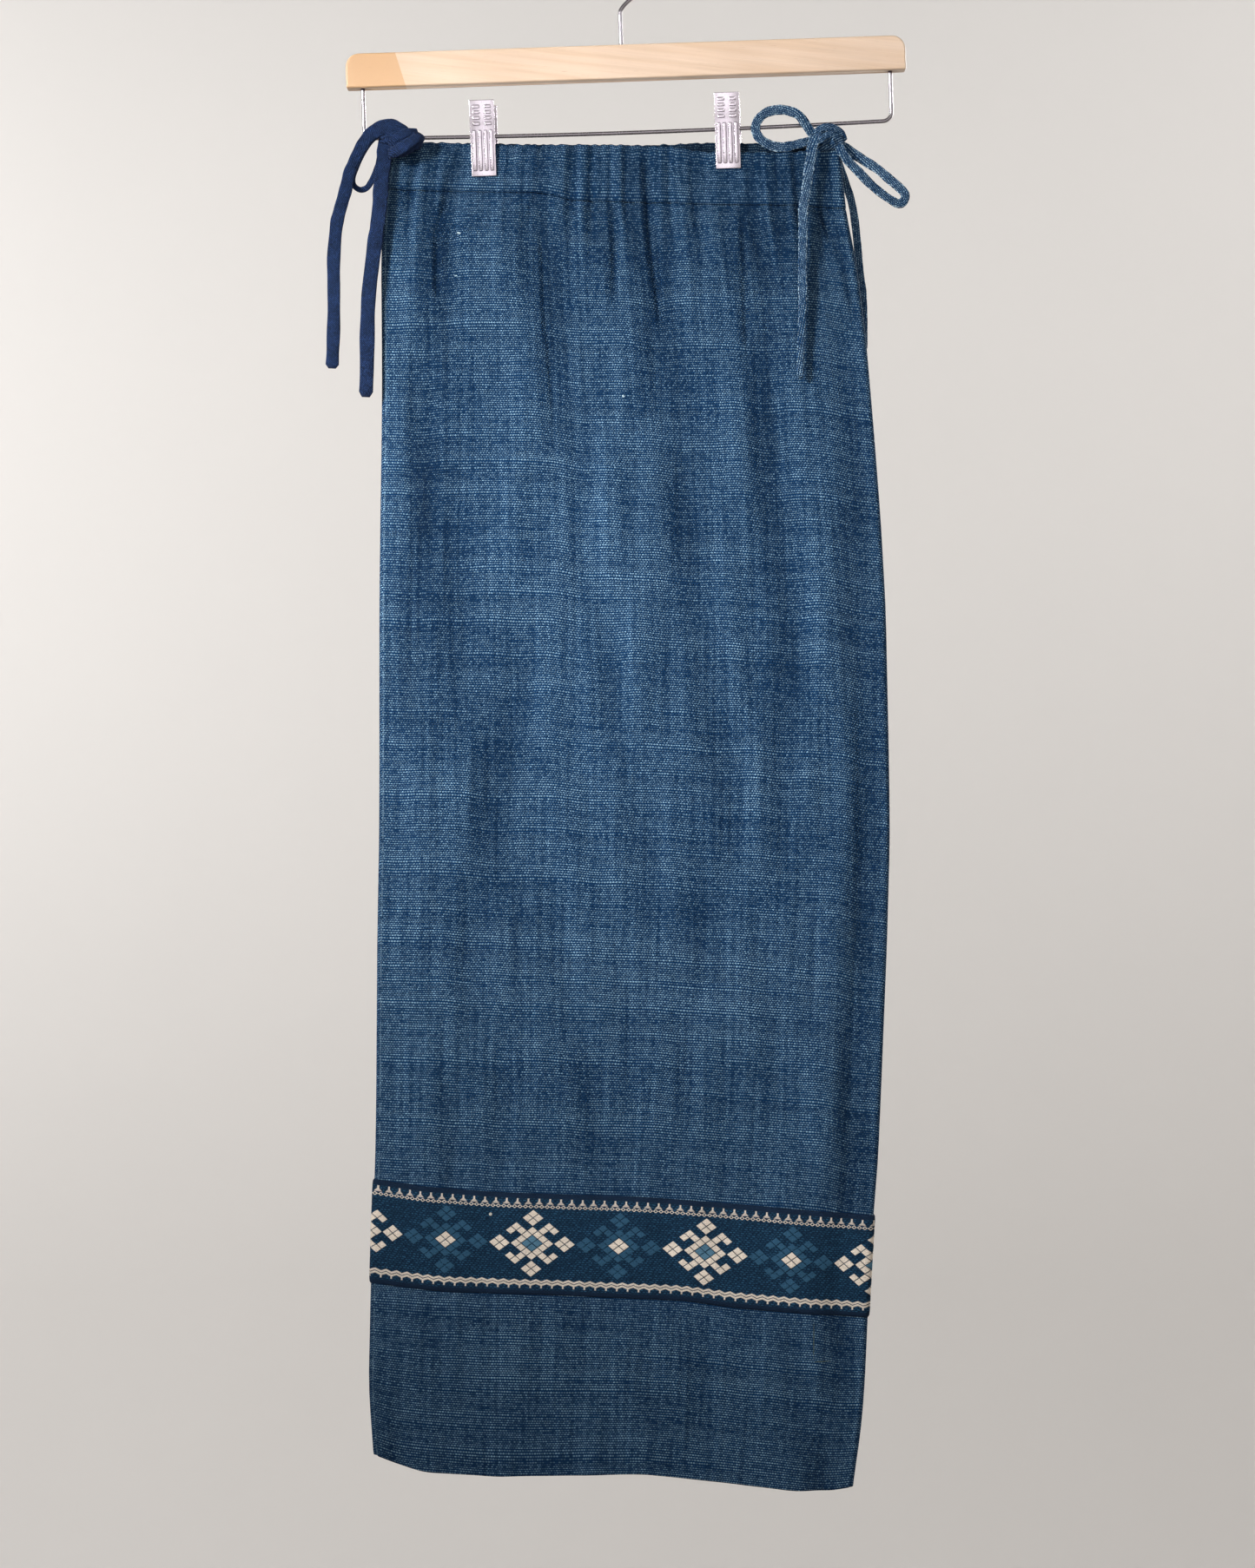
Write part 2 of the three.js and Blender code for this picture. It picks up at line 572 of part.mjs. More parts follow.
// Frame: one wire from the bar's underside down, across and up again, sagging a little in the middle
function frameGeometry() {
  const { left, right, corner, end } = FRAME;
  const top = BAR.top - BAR.height + WIRE_SEAT - GAP;
  const cornerSteps = 5;
  const sagSteps = 6;
  const points = [];
  const put = (x, z) => points.push(new THREE.Vector3(x, 0, z));
  put(left, top);
  for (let i = 0; i <= cornerSteps; i++) {
    const turn = (Math.PI / 2) * (i / cornerSteps);
    put(left + corner * (1 - Math.cos(turn)), end + corner * (1 - Math.sin(turn)));
  }
  for (let i = 1; i < sagSteps; i++) {
    const x = THREE.MathUtils.lerp(left + corner, right - corner, i / sagSteps);
    put(x, wireHeight(x));
  }
  for (let i = cornerSteps; i >= 0; i--) {
    const turn = (Math.PI / 2) * (i / cornerSteps);
    put(right - corner * (1 - Math.cos(turn)), end + corner * (1 - Math.sin(turn)));
  }
  put(right, top);
  return tubeAlong(new PointCurve(points), WIRE_DIAMETER, WIRE_DIAMETER);
}

// Bar: rounded upper corners, softened edges, drilled for the hook and the frame
function barGeometry() {
  const edge = 1.2;
  const [left, right] = [BAR.left + edge, BAR.right - edge];
  const [bottom, top] = [BAR.top - BAR.height + edge, BAR.top - edge];
  const outline = new THREE.Shape();
  outline.moveTo(left, bottom);
  outline.lineTo(right, bottom);
  outline.absarc(right - BAR.corner, top - BAR.corner, BAR.corner, 0, Math.PI / 2, false);
  outline.absarc(left + BAR.corner, top - BAR.corner, BAR.corner, Math.PI / 2, Math.PI, false);
  outline.closePath();
  const body = new THREE.ExtrudeGeometry(outline, {
    depth: BAR.depth - 2 * edge,
    bevelThickness: edge,
    bevelSize: edge,
    bevelSegments: 1,
    curveSegments: 5,
  });
  body.translate(0, 0, -(BAR.depth - 2 * edge) / 2).rotateX(Math.PI / 2);
  let bar = toSolid(body);
  const holes = [
    { x: 0, mouth: BAR.top },
    { x: FRAME.left, mouth: BAR.top - BAR.height },
    { x: FRAME.right, mouth: BAR.top - BAR.height },
  ];
  for (const hole of holes) {
    const radius = WIRE_DIAMETER / 2 + GAP;
    const drill = new THREE.CylinderGeometry(radius, radius, 2 * WIRE_SEAT, 12);
    drill.rotateX(Math.PI / 2).translate(hole.x, 0, hole.mouth);
    bar = bar.subtract(toSolid(drill));
  }
  return fromSolid(bar);
}

// A strip of bent metal: its side profile, pushed along X
function bentStrip(profile, metal, width, x) {
  const shape = new THREE.Shape();
  profile.forEach((p, i) => (i ? shape.lineTo(-p.away, p.z) : shape.moveTo(-p.away, p.z)));
  for (const p of [...profile].reverse()) shape.lineTo(-p.away - metal, p.z);
  shape.closePath();
  const strip = new THREE.ExtrudeGeometry(shape, { depth: width, bevelEnabled: false });
  const turn = new THREE.Matrix4().makeBasis(
    new THREE.Vector3(0, 1, 0),
    new THREE.Vector3(0, 0, 1),
    new THREE.Vector3(1, 0, 0),
  );
  return strip.applyMatrix4(turn).translate(x - width / 2, 0, 0);
}

function plateGeometry() {
  let plate = toSolid(bentStrip(PLATE_PROFILE, CLIP_METAL, CLIP_WIDTH, 0));
  const ribbed = PLATE_PROFILE.filter((p) => p.z <= 0 && p.z >= -24);
  const raised = ribbed.map((p) => ({ z: p.z, away: p.away + CLIP_METAL / 2 }));
  for (let i = 0; i < RIB.count; i++) {
    const x = (i - (RIB.count - 1) / 2) * RIB.pitch;
    plate = plate.add(toSolid(bentStrip(raised, CLIP_METAL / 2 + RIB.height, RIB.width, x)));
  }
  return fromSolid(plate);
}

// The coil that pushes the jaws together, round the wire
function springGeometry() {
  const [inner, outer, half] = [WIRE_DIAMETER / 2 + GAP, CLIP_SPRING.radius, CLIP_SPRING.length / 2];
  const ring = [[inner, -half], [outer, -half], [outer, half], [inner, half], [inner, -half]];
  const turned = new THREE.LatheGeometry(ring.map((p) => new THREE.Vector2(...p)), 12);
  return merged(turned.rotateZ(Math.PI / 2));
}

add(hanger, "hanger_hook", hookGeometry(), "chrome");
add(hanger, "hanger_frame", frameGeometry(), "chrome");
add(hanger, "hanger_bar", barGeometry(), "wood");
for (const clip of CLIPS) {
  const group = new THREE.Group();
  group.position.set(clip.x, 0, wireHeight(clip.x));
  hanger.add(group);
  add(group, `${clip.name}_front`, plateGeometry(), "chrome");
  const back = plateGeometry().scale(1, -1, 1).translate(BACK_PLATE_SHIFT, 0, 0);
  add(group, `${clip.name}_back`, facingOut(back), "chrome");
  add(group, `${clip.name}_spring`, springGeometry(), "chrome");
}

export default part;
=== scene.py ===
# The looks of a gathered tube skirt on its clip hanger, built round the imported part.
# Tables are in millimetres, as a tailor measures; everything built is in metres. +Z is up and the front faces -Y.
import functools
import math

import bmesh
import bpy
import numpy as np
from mathutils import Matrix, Vector


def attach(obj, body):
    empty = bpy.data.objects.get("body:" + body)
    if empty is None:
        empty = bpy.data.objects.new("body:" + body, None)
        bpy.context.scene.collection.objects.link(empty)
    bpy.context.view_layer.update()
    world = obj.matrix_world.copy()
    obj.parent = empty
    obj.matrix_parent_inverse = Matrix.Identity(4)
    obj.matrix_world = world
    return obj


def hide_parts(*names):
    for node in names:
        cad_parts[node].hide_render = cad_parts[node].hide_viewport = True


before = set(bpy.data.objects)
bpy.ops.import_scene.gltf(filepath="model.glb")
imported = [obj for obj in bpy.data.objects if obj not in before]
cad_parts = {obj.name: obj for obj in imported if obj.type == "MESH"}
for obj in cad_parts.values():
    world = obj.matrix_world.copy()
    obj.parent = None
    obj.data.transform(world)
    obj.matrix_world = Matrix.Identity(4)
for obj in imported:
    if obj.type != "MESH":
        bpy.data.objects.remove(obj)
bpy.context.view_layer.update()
MM = 0.001
chance = np.random.default_rng(11)


def placed(name, data):
    """A new object in the scene."""
    piece = bpy.data.objects.new(name, data)
    bpy.context.scene.collection.objects.link(piece)
    return piece


# ---- camera

camera = placed("camera", bpy.data.cameras.new("camera"))
camera.data.lens, camera.data.sensor_width = 68.81, 36
camera.location = (0.0064, -2.008, -0.5571)
camera.rotation_euler = (math.radians(90), 0, 0)
bpy.context.scene.camera = camera
bpy.context.scene.view_settings.view_transform = "Standard"

# ---- finishes


def worked_by(operation, swapped=False):
    """A method that hands two values to a math node, the other one first where swapped."""
    def method(self, *others):
        values = (*others, self) if swapped else (self, *others)
        return self.finish.math(operation, *values)
    return method


class Reading:
    """A number that varies over a surface, worked out by nodes."""

    def __init__(self, finish, socket):
        self.finish, self.socket = finish, socket

    __add__ = __radd__ = worked_by("ADD")
    __mul__ = __rmul__ = worked_by("MULTIPLY")
    __sub__, __rsub__ = worked_by("SUBTRACT"), worked_by("SUBTRACT", swapped=True)
    __truediv__ = worked_by("DIVIDE")
    __lt__, __gt__ = worked_by("LESS_THAN"), worked_by("GREATER_THAN")
    floor, fract, size = worked_by("FLOOR"), worked_by("FRACT"), worked_by("ABSOLUTE")
    larger = worked_by("MAXIMUM")

    def wrapped(self, low, high):
        return self.finish.math("WRAP", self, high, low)

    def even(self, start, end):
        """0 up to start, 1 from end on, and a soft step between them."""
        return self.finish.ranged(self, start, end, 0.0, 1.0, "SMOOTHSTEP")

    def fading(self, start, end):
        """1 up to start, 0 from end on, and a soft step between them."""
        return 1.0 - self.even(start, end)


class Finish:
    """A surface finish; the values handed to its nodes are numbers, readings or sockets."""

    def __init__(self, name, roughness, metallic=0.0, sheen=0.0, gloss=0.5):
        self.material = bpy.data.materials.new(name)
        self.material.use_nodes = True
        self.tree = self.material.node_tree
        self.tree.nodes.clear()
        self.shader = self.add("ShaderNodeBsdfPrincipled", Roughness=roughness, Metallic=metallic)
        self.shader.inputs["Sheen Weight"].default_value = sheen
        self.shader.inputs["Specular IOR Level"].default_value = gloss
        surface = self.add("ShaderNodeOutputMaterial")
        self.tree.links.new(self.shader.outputs[0], surface.inputs["Surface"])

    def put(self, socket, value):
        if isinstance(value, Reading):
            value = value.socket
        if isinstance(value, bpy.types.NodeSocket):
            self.tree.links.new(value, socket)
        else:
            socket.default_value = value

    def add(self, kind, settings=None, **inputs):
        node = self.tree.nodes.new(kind)
        for key, value in (settings or {}).items():
            setattr(node, key, value)
        for key, value in inputs.items():
            self.put(node.inputs[key.replace("_", " ")], value)
        return node

    def math(self, operation, *values):
        node = self.tree.nodes.new("ShaderNodeMath")
        node.operation = operation
        for socket, value in zip(node.inputs, values):
            self.put(socket, value)
        return Reading(self, node.outputs[0])

    def ranged(self, value, low, high, to_low, to_high, step="LINEAR"):
        node = self.add("ShaderNodeMapRange", {"interpolation_type": step}, Value=value)
        for key, number in (("From Min", low), ("From Max", high), ("To Min", to_low), ("To Max", to_high)):
            self.put(node.inputs[key], number)
        return Reading(self, node.outputs["Result"])

    def laid_out(self):
        """The two lengths along a piece's own cloth, in metres."""
        place = self.add("ShaderNodeUVMap", {"uv_map": "cloth"})
        parts = self.add("ShaderNodeSeparateXYZ", Vector=place.outputs[0])
        return Reading(self, parts.outputs["X"]), Reading(self, parts.outputs["Y"])

    def in_space(self):
        """The place in the part's own frame, in metres."""
        place = self.add("ShaderNodeTexCoord")
        parts = self.add("ShaderNodeSeparateXYZ", Vector=place.outputs["Object"])
        return [Reading(self, parts.outputs[key]) for key in "XYZ"]

    def spread(self, x, y=0.0, z=0.0):
        return self.add("ShaderNodeCombineXYZ", X=x, Y=y, Z=z).outputs[0]

    def cloudy(self, places, detail, roughness):
        """A smooth uneven value about 0.5."""
        node = self.add("ShaderNodeTexNoise", Vector=self.spread(*places), Scale=1.0, Detail=detail,
                        Roughness=roughness)
        return Reading(self, node.outputs[0])

    def scattered(self, x, y):
        """A value from 0 to 1 with nothing in common from cell to cell."""
        node = self.add("ShaderNodeTexWhiteNoise", {"noise_dimensions": "2D"}, Vector=self.spread(x, y))
        return Reading(self, node.outputs["Value"])

    def blend(self, share, first, second):
        node = self.add("ShaderNodeMix", {"data_type": "RGBA", "clamp_factor": True})
        for socket, value in ((node.inputs[0], share), (node.inputs[6], first), (node.inputs[7], second)):
            self.put(socket, value)
        return node.outputs[2]

    def shaded(self, colour, share):
        """The colour made lighter or darker by a share."""
        node = self.add("ShaderNodeHueSaturation", Color=colour, Value=share)
        return node.outputs[0]

    def finished(self, colour, height=None, depth=0.0, roughness=None):
        self.put(self.shader.inputs["Base Color"], colour)
        if roughness is not None:
            self.put(self.shader.inputs["Roughness"], roughness)
        if height is not None:
            bump = self.add("ShaderNodeBump", Strength=1.0, Distance=depth, Height=height)
            self.put(self.shader.inputs["Normal"], bump.outputs[0])
        return self.material


def largest(*readings):
    return functools.reduce(Reading.larger, readings)


def uneven(*parts):
    """Values about 0.5, each with its weight, added up to a value about 0."""
    return sum((value - 0.5) * weight for value, weight in parts)


def tone(red, green, blue):
    """A colour from the 0 to 255 values of a colour card."""
    def linear(value):
        share = value / 255
        return share / 12.92 if share <= 0.04045 else ((share + 0.055) / 1.055) ** 2.4
    return (linear(red), linear(green), linear(blue), 1.0)


FLECK_WIDE, ROW_HIGH = 1.83 * MM, 1.55 * MM
TIE_THREADS = (1.7 * MM, 1.35 * MM)  # the same two sizes where the cloth is folded into a tie


def flecked(finish, u, v, dark, light, wide=FLECK_WIDE, high=ROW_HIGH, fold_shade=0.0):
    """Hand-woven cloth: pale weft flecks in staggered rows over an indigo warp."""
    beat = finish.cloudy((u * 3.0, v * 85.0), 1.0, 0.5)
    drift = finish.cloudy((u * 60.0, v * 25.0), 1.0, 0.5)
    rows = (v + (beat - 0.5) * 0.0042) / high
    row = rows.floor()
    shift = finish.scattered(row, 3.0) * 0.3
    columns = (u + (drift - 0.5) * 0.003) / wide + row.wrapped(0.0, 2.0) * 0.5 + shift
    across, down = columns.fract() - 0.5, rows.fract() - 0.5
    each = finish.scattered(columns.floor(), row)
    apart = across * across * 3.7 + down * down * 8.0
    spot = 1.0 - apart.even(0.05, 1.1)
    yarn = finish.cloudy((u * 16.0, row * 7.31), 2.0, 0.5)
    streak = finish.cloudy((u * 330.0, v * 11.0), 1.0, 0.5)
    column = finish.cloudy((u * 90.0 + 40.0, v * 6.0), 2.0, 0.5)
    patch = finish.cloudy((u * 26.0, v * 34.0), 3.0, 0.6)
    bright = uneven((each, 0.7), (yarn, 0.8), (streak, 0.65), (patch, 0.2), (beat, 0.6))
    # Painted shade: the flecks dim and the cloth darkens where a fold presses in.
    lit = spot * (bright + 0.52 - fold_shade * 0.2).larger(0.05)
    body = uneven((streak, 0.45), (column, 0.32), (patch, 0.25), (beat, 0.2)) + 1.0 - fold_shade * 0.3
    colour = finish.shaded(finish.blend(lit, dark, light), body)
    height = spot * 0.8 + streak * 0.3
    return colour, height


# Slubs and a stray end of olive basting thread: place across and up, half sizes in millimetres, strength, colour
SPECKS = [
    (-106.4, -189.0, 1.5, 0.5, 0.8, tone(196, 216, 220)), (-108.3, -217.7, 1.2, 0.5, 0.5, tone(170, 200, 212)),
    (3.6, -298.4, 0.9, 0.9, 0.7, tone(190, 214, 222)), (130.6, -928.5, 0.3, 14.0, 0.6, tone(96, 104, 70)),
    (136.4, -942.6, 6.0, 0.3, 0.6, tone(96, 104, 70)),
]


def speck(x, y, z, at_x, at_z, wide, high):
    """1 on a small soft spot of the front, 0 elsewhere."""
    across, up = (x - at_x * MM) / (wide * MM), (z - at_z * MM) / (high * MM)
    return (across * across + up * up).fading(0.5, 1.2) * (y < 0.0)


FOLD_LINE = 4.9 * MM  # the place of a pale line painted just inside the left fold: a painted highlight along the fold's edge


def skirt_finish():
    finish = Finish("hand-woven indigo", 0.9, gloss=0.08)
    u, v = finish.laid_out()
    # Painted shade in the folds, read from the fold depth kept on the mesh.
    fold_shade = Reading(finish, finish.add("ShaderNodeAttribute", {"attribute_name": "fold_shade"}).outputs["Fac"])
    colour, height = flecked(finish, u, v, tone(7, 41, 74), tone(118, 150, 172), fold_shade=fold_shade)
    # Painted highlight: a broken pale line along the left fold.
    fold_highlight = finish.cloudy((u * 40.0, v * 160.0), 2.0, 0.6).even(0.36, 0.56)
    fold_highlight = (u - FOLD_LINE).size().fading(0.0002, 0.0008) * fold_highlight
    colour = finish.blend(fold_highlight * 0.2, colour, tone(150, 184, 206))
    x, y, z = finish.in_space()
    for at_x, at_z, wide, high, share, paint in SPECKS:
        colour = finish.blend(speck(x, y, z, at_x, at_z, wide, high) * share, colour, paint)
    # Painted shade: faces of the back layer that turn towards the front, inside the tube, are darkened as if the
    # front layer shades them.
    facing = finish.add("ShaderNodeSeparateXYZ", Vector=finish.add("ShaderNodeNewGeometry").outputs["Normal"])
    inner = (Reading(finish, facing.outputs["Y"]) < -0.2) * (y > 0.0)
    colour = finish.shaded(colour, 1.0 - inner * 0.6)
    return finish.finished(colour, height, 0.0004)


def tie_cloth_finish():
    """The skirt's own cloth, folded into a tie and worn pale along its edges."""
    finish = Finish("indigo tie", 0.9, gloss=0.1)
    u, v = finish.laid_out()
    colour, height = flecked(finish, v + u * 0.25, u - v * 0.16, tone(14, 48, 82), tone(146, 176, 196), *TIE_THREADS)
    patchy = finish.cloudy((u * 300.0, v * 420.0), 1.0, 0.5).even(0.5, 0.62)
    worn = (u.size() - 0.0019).even(0.0, 0.0012) * patchy
    colour = finish.blend(worn * 0.8, colour, tone(176, 198, 212))
    return finish.finished(colour, height + worn * 0.5, 0.0005)


def knot_cloth_finish():
    finish = Finish("indigo knot", 0.9, gloss=0.1)
    x, y, z = finish.in_space()
    colour, height = flecked(finish, x + z * 0.7 + y, z - x * 0.5, tone(18, 50, 84), tone(150, 182, 204),
                             *TIE_THREADS)
    return finish.finished(colour, height, 0.0005)


def dark_finish(name, on_cloth):
    """Dark blue tape: a fine slanting rib with a soft nap."""
    finish = Finish(name, 0.9, sheen=0.04, gloss=0.12)
    if on_cloth:
        u, v = finish.laid_out()
    else:
        x, y, z = finish.in_space()
        u, v = x + y, z
    slant = (u + v * 0.9) / 0.0013
    rib = slant.fract() - 0.5
    nap = finish.cloudy((u * 1100.0, v * 800.0), 3.0, 0.7)
    worn = finish.cloudy((u * 160.0, v * 110.0), 3.0, 0.6)
    weave = finish.scattered(slant.floor(), ((u - v * 0.6) / 0.0011).floor())
    shade = uneven((nap, 1.5), (worn, 1.3), (weave, 0.5)) + 0.95
    colour = finish.shaded(finish.blend(rib.size() * 2.0, tone(39, 61, 102), tone(7, 21, 48)), shade)
    return finish.finished(colour, rib.size() + nap * 1.4, 0.0007)


# ---- making meshes


def pick(*pieces):
    """Selects these pieces alone, the first as the active one."""
    bpy.ops.object.select_all(action="DESELECT")
    for piece in pieces:
        piece.select_set(True)
    bpy.context.view_layer.objects.active = pieces[0]


def mode(kind):
    """Goes to edit or object mode."""
    bpy.ops.object.mode_set(mode=kind)


def backed(piece, thick):
    """Gives a sheet its thickness, towards its inner side."""
    wall = piece.modifiers.new("wall", "SOLIDIFY")
    wall.thickness, wall.offset = thick * MM, -1


def ride(piece, nodes, slot, material):
    """Hands a piece over in place of its CAD nodes, with its finish, and smooths it; the slot is not used."""
    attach(piece, "root")
    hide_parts(*nodes)
    piece.data.materials.clear()
    piece.data.materials.append(material)
    for face in piece.data.polygons:
        face.use_smooth = True
    return piece


def woven(name, points, u, v, closed_rows=False, fold_shades=None):
    """A tube of cloth from a grid of points, rows down by places round; u and v have one place more round."""
    u, v = np.broadcast_arrays(u, v)
    rows, round_count = points.shape[:2]
    count = rows if closed_rows else rows - 1
    r, c = np.meshgrid(np.arange(count), np.arange(round_count), indexing="ij")
    below, after = (r + 1) % rows, (c + 1) % round_count
    faces = np.stack([r * round_count + c, below * round_count + c,
                      below * round_count + after, r * round_count + after], axis=-1).reshape(-1, 4)
    mesh = bpy.data.meshes.new(name)
    mesh.from_pydata(points.reshape(-1, 3).tolist(), [], faces.tolist())
    corner_u = np.stack([u[r, c], u[r + 1, c], u[r + 1, c + 1], u[r, c + 1]], axis=-1)
    corner_v = np.stack([v[r, c], v[r + 1, c], v[r + 1, c + 1], v[r, c + 1]], axis=-1)
    layer = mesh.uv_layers.new(name="cloth")
    layer.data.foreach_set("uv", np.stack([corner_u, corner_v], axis=-1).astype(np.float32).ravel())
    # the painted shade of the folds, kept on the mesh for the finish
    if fold_shades is not None:
        attribute = mesh.attributes.new("fold_shade", "FLOAT", "POINT")
        attribute.data.foreach_set("value", fold_shades.astype(np.float32).ravel())
    mesh.validate()
    return placed(name, mesh)


def smooth_line(points, steps):
    """A smooth line through points, with some steps between each two."""
    line = np.asarray(points, float)
    line = np.vstack([2 * line[0] - line[1], line, 2 * line[-1] - line[-2]])
    t = np.linspace(0, 1, steps, endpoint=False)[:, None]
    found = [
        0.5 * (2 * b + (c - a) * t + (2 * a - 5 * b + 4 * c - d) * t**2 + (3 * b - a - 3 * c + d) * t**3)
        for a, b, c, d in zip(line[:-3], line[1:-2], line[2:-1], line[3:])
    ]
    return np.vstack(found + [line[-2][None]])


SECTION_POINTS = 20


def tape(name, line, widths, thick, turns=0.0, ends=0.55):
    """A flat folded tape along a line: its width lies across the line, and turns tilts it, in radians."""
    line = np.asarray(line, float)
    along = np.gradient(line, axis=0)
    along /= np.linalg.norm(along, axis=1)[:, None]
    out = np.array([0.0, -1.0, 0.0]) - along * (-along[:, 1:2])
    out /= np.linalg.norm(out, axis=1)[:, None]
    beside = np.cross(along, out)
    turns = np.broadcast_to(turns, len(line))[:, None]
    out, beside = out * np.cos(turns) + beside * np.sin(turns), beside * np.cos(turns) - out * np.sin(turns)
    share = np.linspace(0, 1, len(line))
    widths = np.interp(share, np.linspace(0, 1, len(widths)), widths)
    for waves in (5, 9, 14):
        widths = widths * (1 + chance.uniform(0.015, 0.03) * np.sin(2 * np.pi * (waves * share + chance.random())))
    angle = np.linspace(0, 2 * np.pi, SECTION_POINTS, endpoint=False)
    cos, sin = np.cos(angle), np.sin(angle)
    across = np.sign(cos) * np.abs(cos) ** 0.75 / 2
    proud = np.sign(sin) * np.abs(sin) ** 0.6 / 2
    proud = proud * (1 - 0.28 * np.exp(-((across - 0.16) / 0.07) ** 2))
    taper = np.ones(len(line))
    taper[[0, -1]] = ends
    rings = (line[:, None, :] + beside[:, None, :] * (across[None, :, None] * (widths * taper)[:, None, None])
             + out[:, None, :] * (proud[None, :, None] * thick * taper[:, None, None]))
    run = np.concatenate([[0], np.cumsum(np.linalg.norm(np.diff(line, axis=0), axis=1))])
    u = np.append(across, across[0])[None, :] * widths[:, None]
    piece = woven(name, rings, u, run[:, None])
    count = len(line) * SECTION_POINTS
    for ring in (range(SECTION_POINTS), range(count - 1, count - SECTION_POINTS - 1, -1)):
        close_end(piece.data, ring)
    return piece


def close_end(mesh, ring):
    """Closes an open end of a tube with one face."""
    work = bmesh.new()
    work.from_mesh(mesh)
    work.verts.ensure_lookup_table()
    work.faces.new([work.verts[i] for i in ring])
    bmesh.ops.recalc_face_normals(work, faces=work.faces)
    work.to_mesh(mesh)
    work.free()


# ---- ties

# Each tie: its node; its real length, width and far end in metres; its drawn widths, thickness and lean (degrees);
# and its route. All but the real sizes are in millimetres.
TIES = {
    "right_tie_upper_loop": ("bow_right_loop_a", 0.107, 0.0063, "object", (6.2, 6.6, 6.2, 6.6, 6.2), 2.0, 14, [
        (134.5, -6.6, -127), (130.6, -6.6, -124.2), (126.2, -6.4, -117.7), (121, -6.2, -110.7), (114.3, -6, -107.5),
        (107.1, -5.8, -106.7), (99.5, -5.6, -108.4), (94.3, -5.4, -112.5), (92, -5.2, -117.7), (92.9, -5, -122.9),
        (96.6, -4.8, -127.2), (102.4, -4.5, -130.3), (109.1, -4.2, -131.4), (115.8, -3.8, -130.3),
        (122.4, -3.3, -128.6), (128.5, -2.8, -127), (134.5, -2.6, -125.6),
    ]),
    "right_tie_lower_loop": ("bow_right_loop_b", 0.127, 0.0063, "object", (6.0, 6.6, 6.4, 6.0, 6.4, 6.0), 2.0, 10, [
        (145.5, -1.6, -127.6), (151.1, -1.7, -130.4), (157, -1.8, -134.6), (164.5, -2, -139.7), (173.5, -2.4, -145.5),
        (181.6, -2.8, -152.5), (188.3, -3.3, -158.3), (191.8, -3.8, -162.6), (191.2, -4.4, -167), (187.7, -5, -169.3),
        (182.5, -5.6, -167), (174.9, -6.2, -161.8), (167.4, -6.6, -155.4), (161.6, -6.9, -149.3),
        (156.4, -7.1, -144.1), (151.4, -7.2, -138), (148.3, -7.2, -132.8), (146, -7.2, -129),
    ]),
    "right_tie_front_end": ("bow_right_tail_front", 0.164, 0.0063, "bare",
                            (6.6, 7.4, 7.2, 6.6, 6.2, 5.8, 5.2, 4.8), 2.0, 8, [
        (131.6, -10.6, -124.5), (130.4, -10.6, -129), (129.2, -10.8, -134.5), (128.5, -11, -141.2),
        (126.5, -11.4, -152.5), (125, -11.8, -163.5), (123.3, -12.2, -174.5), (123.2, -12.6, -190),
        (122.8, -13, -211.6), (123, -13.4, -232), (122.4, -13.7, -252), (121.6, -13.9, -270), (121.3, -14, -287.6),
    ]),
    "right_tie_back_end": ("bow_right_tail_back", 0.143, 0.0052, "bare", (5.2, 5.4, 5.2, 5.0), 2.0, 6, [
        (141, 4.6, -127), (144, 5.3, -131), (147.1, 6.2, -136.8), (150, 6.7, -144.4), (152.9, 7, -153),
        (156.4, 7.3, -163.5), (158.7, 7.6, -174.5), (160.7, 8.2, -190.8), (162.7, 9, -211.6), (164.6, 10, -225.6),
        (165.4, 10.8, -238), (165.6, 11.3, -252), (165.4, 11.5, -266),
    ]),
    "left_tie_outer_end": ("bow_left_tail_1", 0.188, 0.0088, "bare",
                           (9.6, 10.6, 10.2, 8.2, 7.4, 8.4, 8.8, 8.8, 8.8, 8.6), 2.1, 5, [
        (-140.6, -11.6, -126), (-143.6, -13, -123.2), (-148.4, -13.8, -120.6), (-154, -13.8, -119.6),
        (-159.6, -13.8, -121.6), (-165.2, -13.6, -125.4), (-169.2, -13.3, -130.6), (-173, -13, -137.1),
        (-176.5, -12.7, -144.4), (-179.2, -12.4, -151.3), (-181.2, -12.1, -161.2), (-183.5, -11.8, -169.3),
        (-185.8, -11.5, -177.4), (-187.6, -11.2, -186.1), (-189.3, -10.8, -206.4), (-189.3, -10.4, -224.4),
        (-189.3, -10.2, -245.9), (-189.9, -10.1, -266.7), (-190.5, -10, -280.1),
    ]),
    "left_tie_loop": ("bow_left_loop", 0.098, 0.0038, "object", (3.8, 3.6, 3.8, 4.0, 3.8), 2.6, 0, [
        (-146.5, -7.1, -126.4), (-151.5, -6.2, -123.8), (-158.2, -5.6, -123), (-165, -5.4, -127.6),
        (-170, -5.4, -135.2), (-174.2, -5.4, -143.8), (-177, -5.4, -151.8), (-176.6, -5.4, -156.8),
        (-172.5, -5.4, -160), (-167.9, -5.4, -158.9), (-164.9, -5.4, -154.8), (-162.6, -5.4, -149.9),
        (-159.7, -5.4, -143.2), (-156, -5.6, -137.6), (-151.5, -6.2, -134.4), (-147, -7.1, -133.4),
    ]),
    "left_tie_inner_end": ("bow_left_tail_2", 0.18, 0.0090, "bare", (8.6, 9.8, 10.2, 9.8, 9.8, 9.4), 2.1, 4, [
        (-147.4, -10.2, -128.2), (-152.2, -10.2, -126.2), (-155, -10, -129.2), (-155.7, -10, -135),
        (-156, -9.9, -141.5), (-157.4, -9.8, -149.9), (-158.1, -9.7, -161.2), (-158.8, -9.7, -172.2),
        (-160.2, -9.7, -183.2), (-161.5, -9.7, -192.5), (-163.8, -9.8, -210.5), (-166.1, -9.9, -231.4),
        (-167, -10, -255), (-167.3, -10, -280.7), (-168, -10, -299.2),
    ]),
}
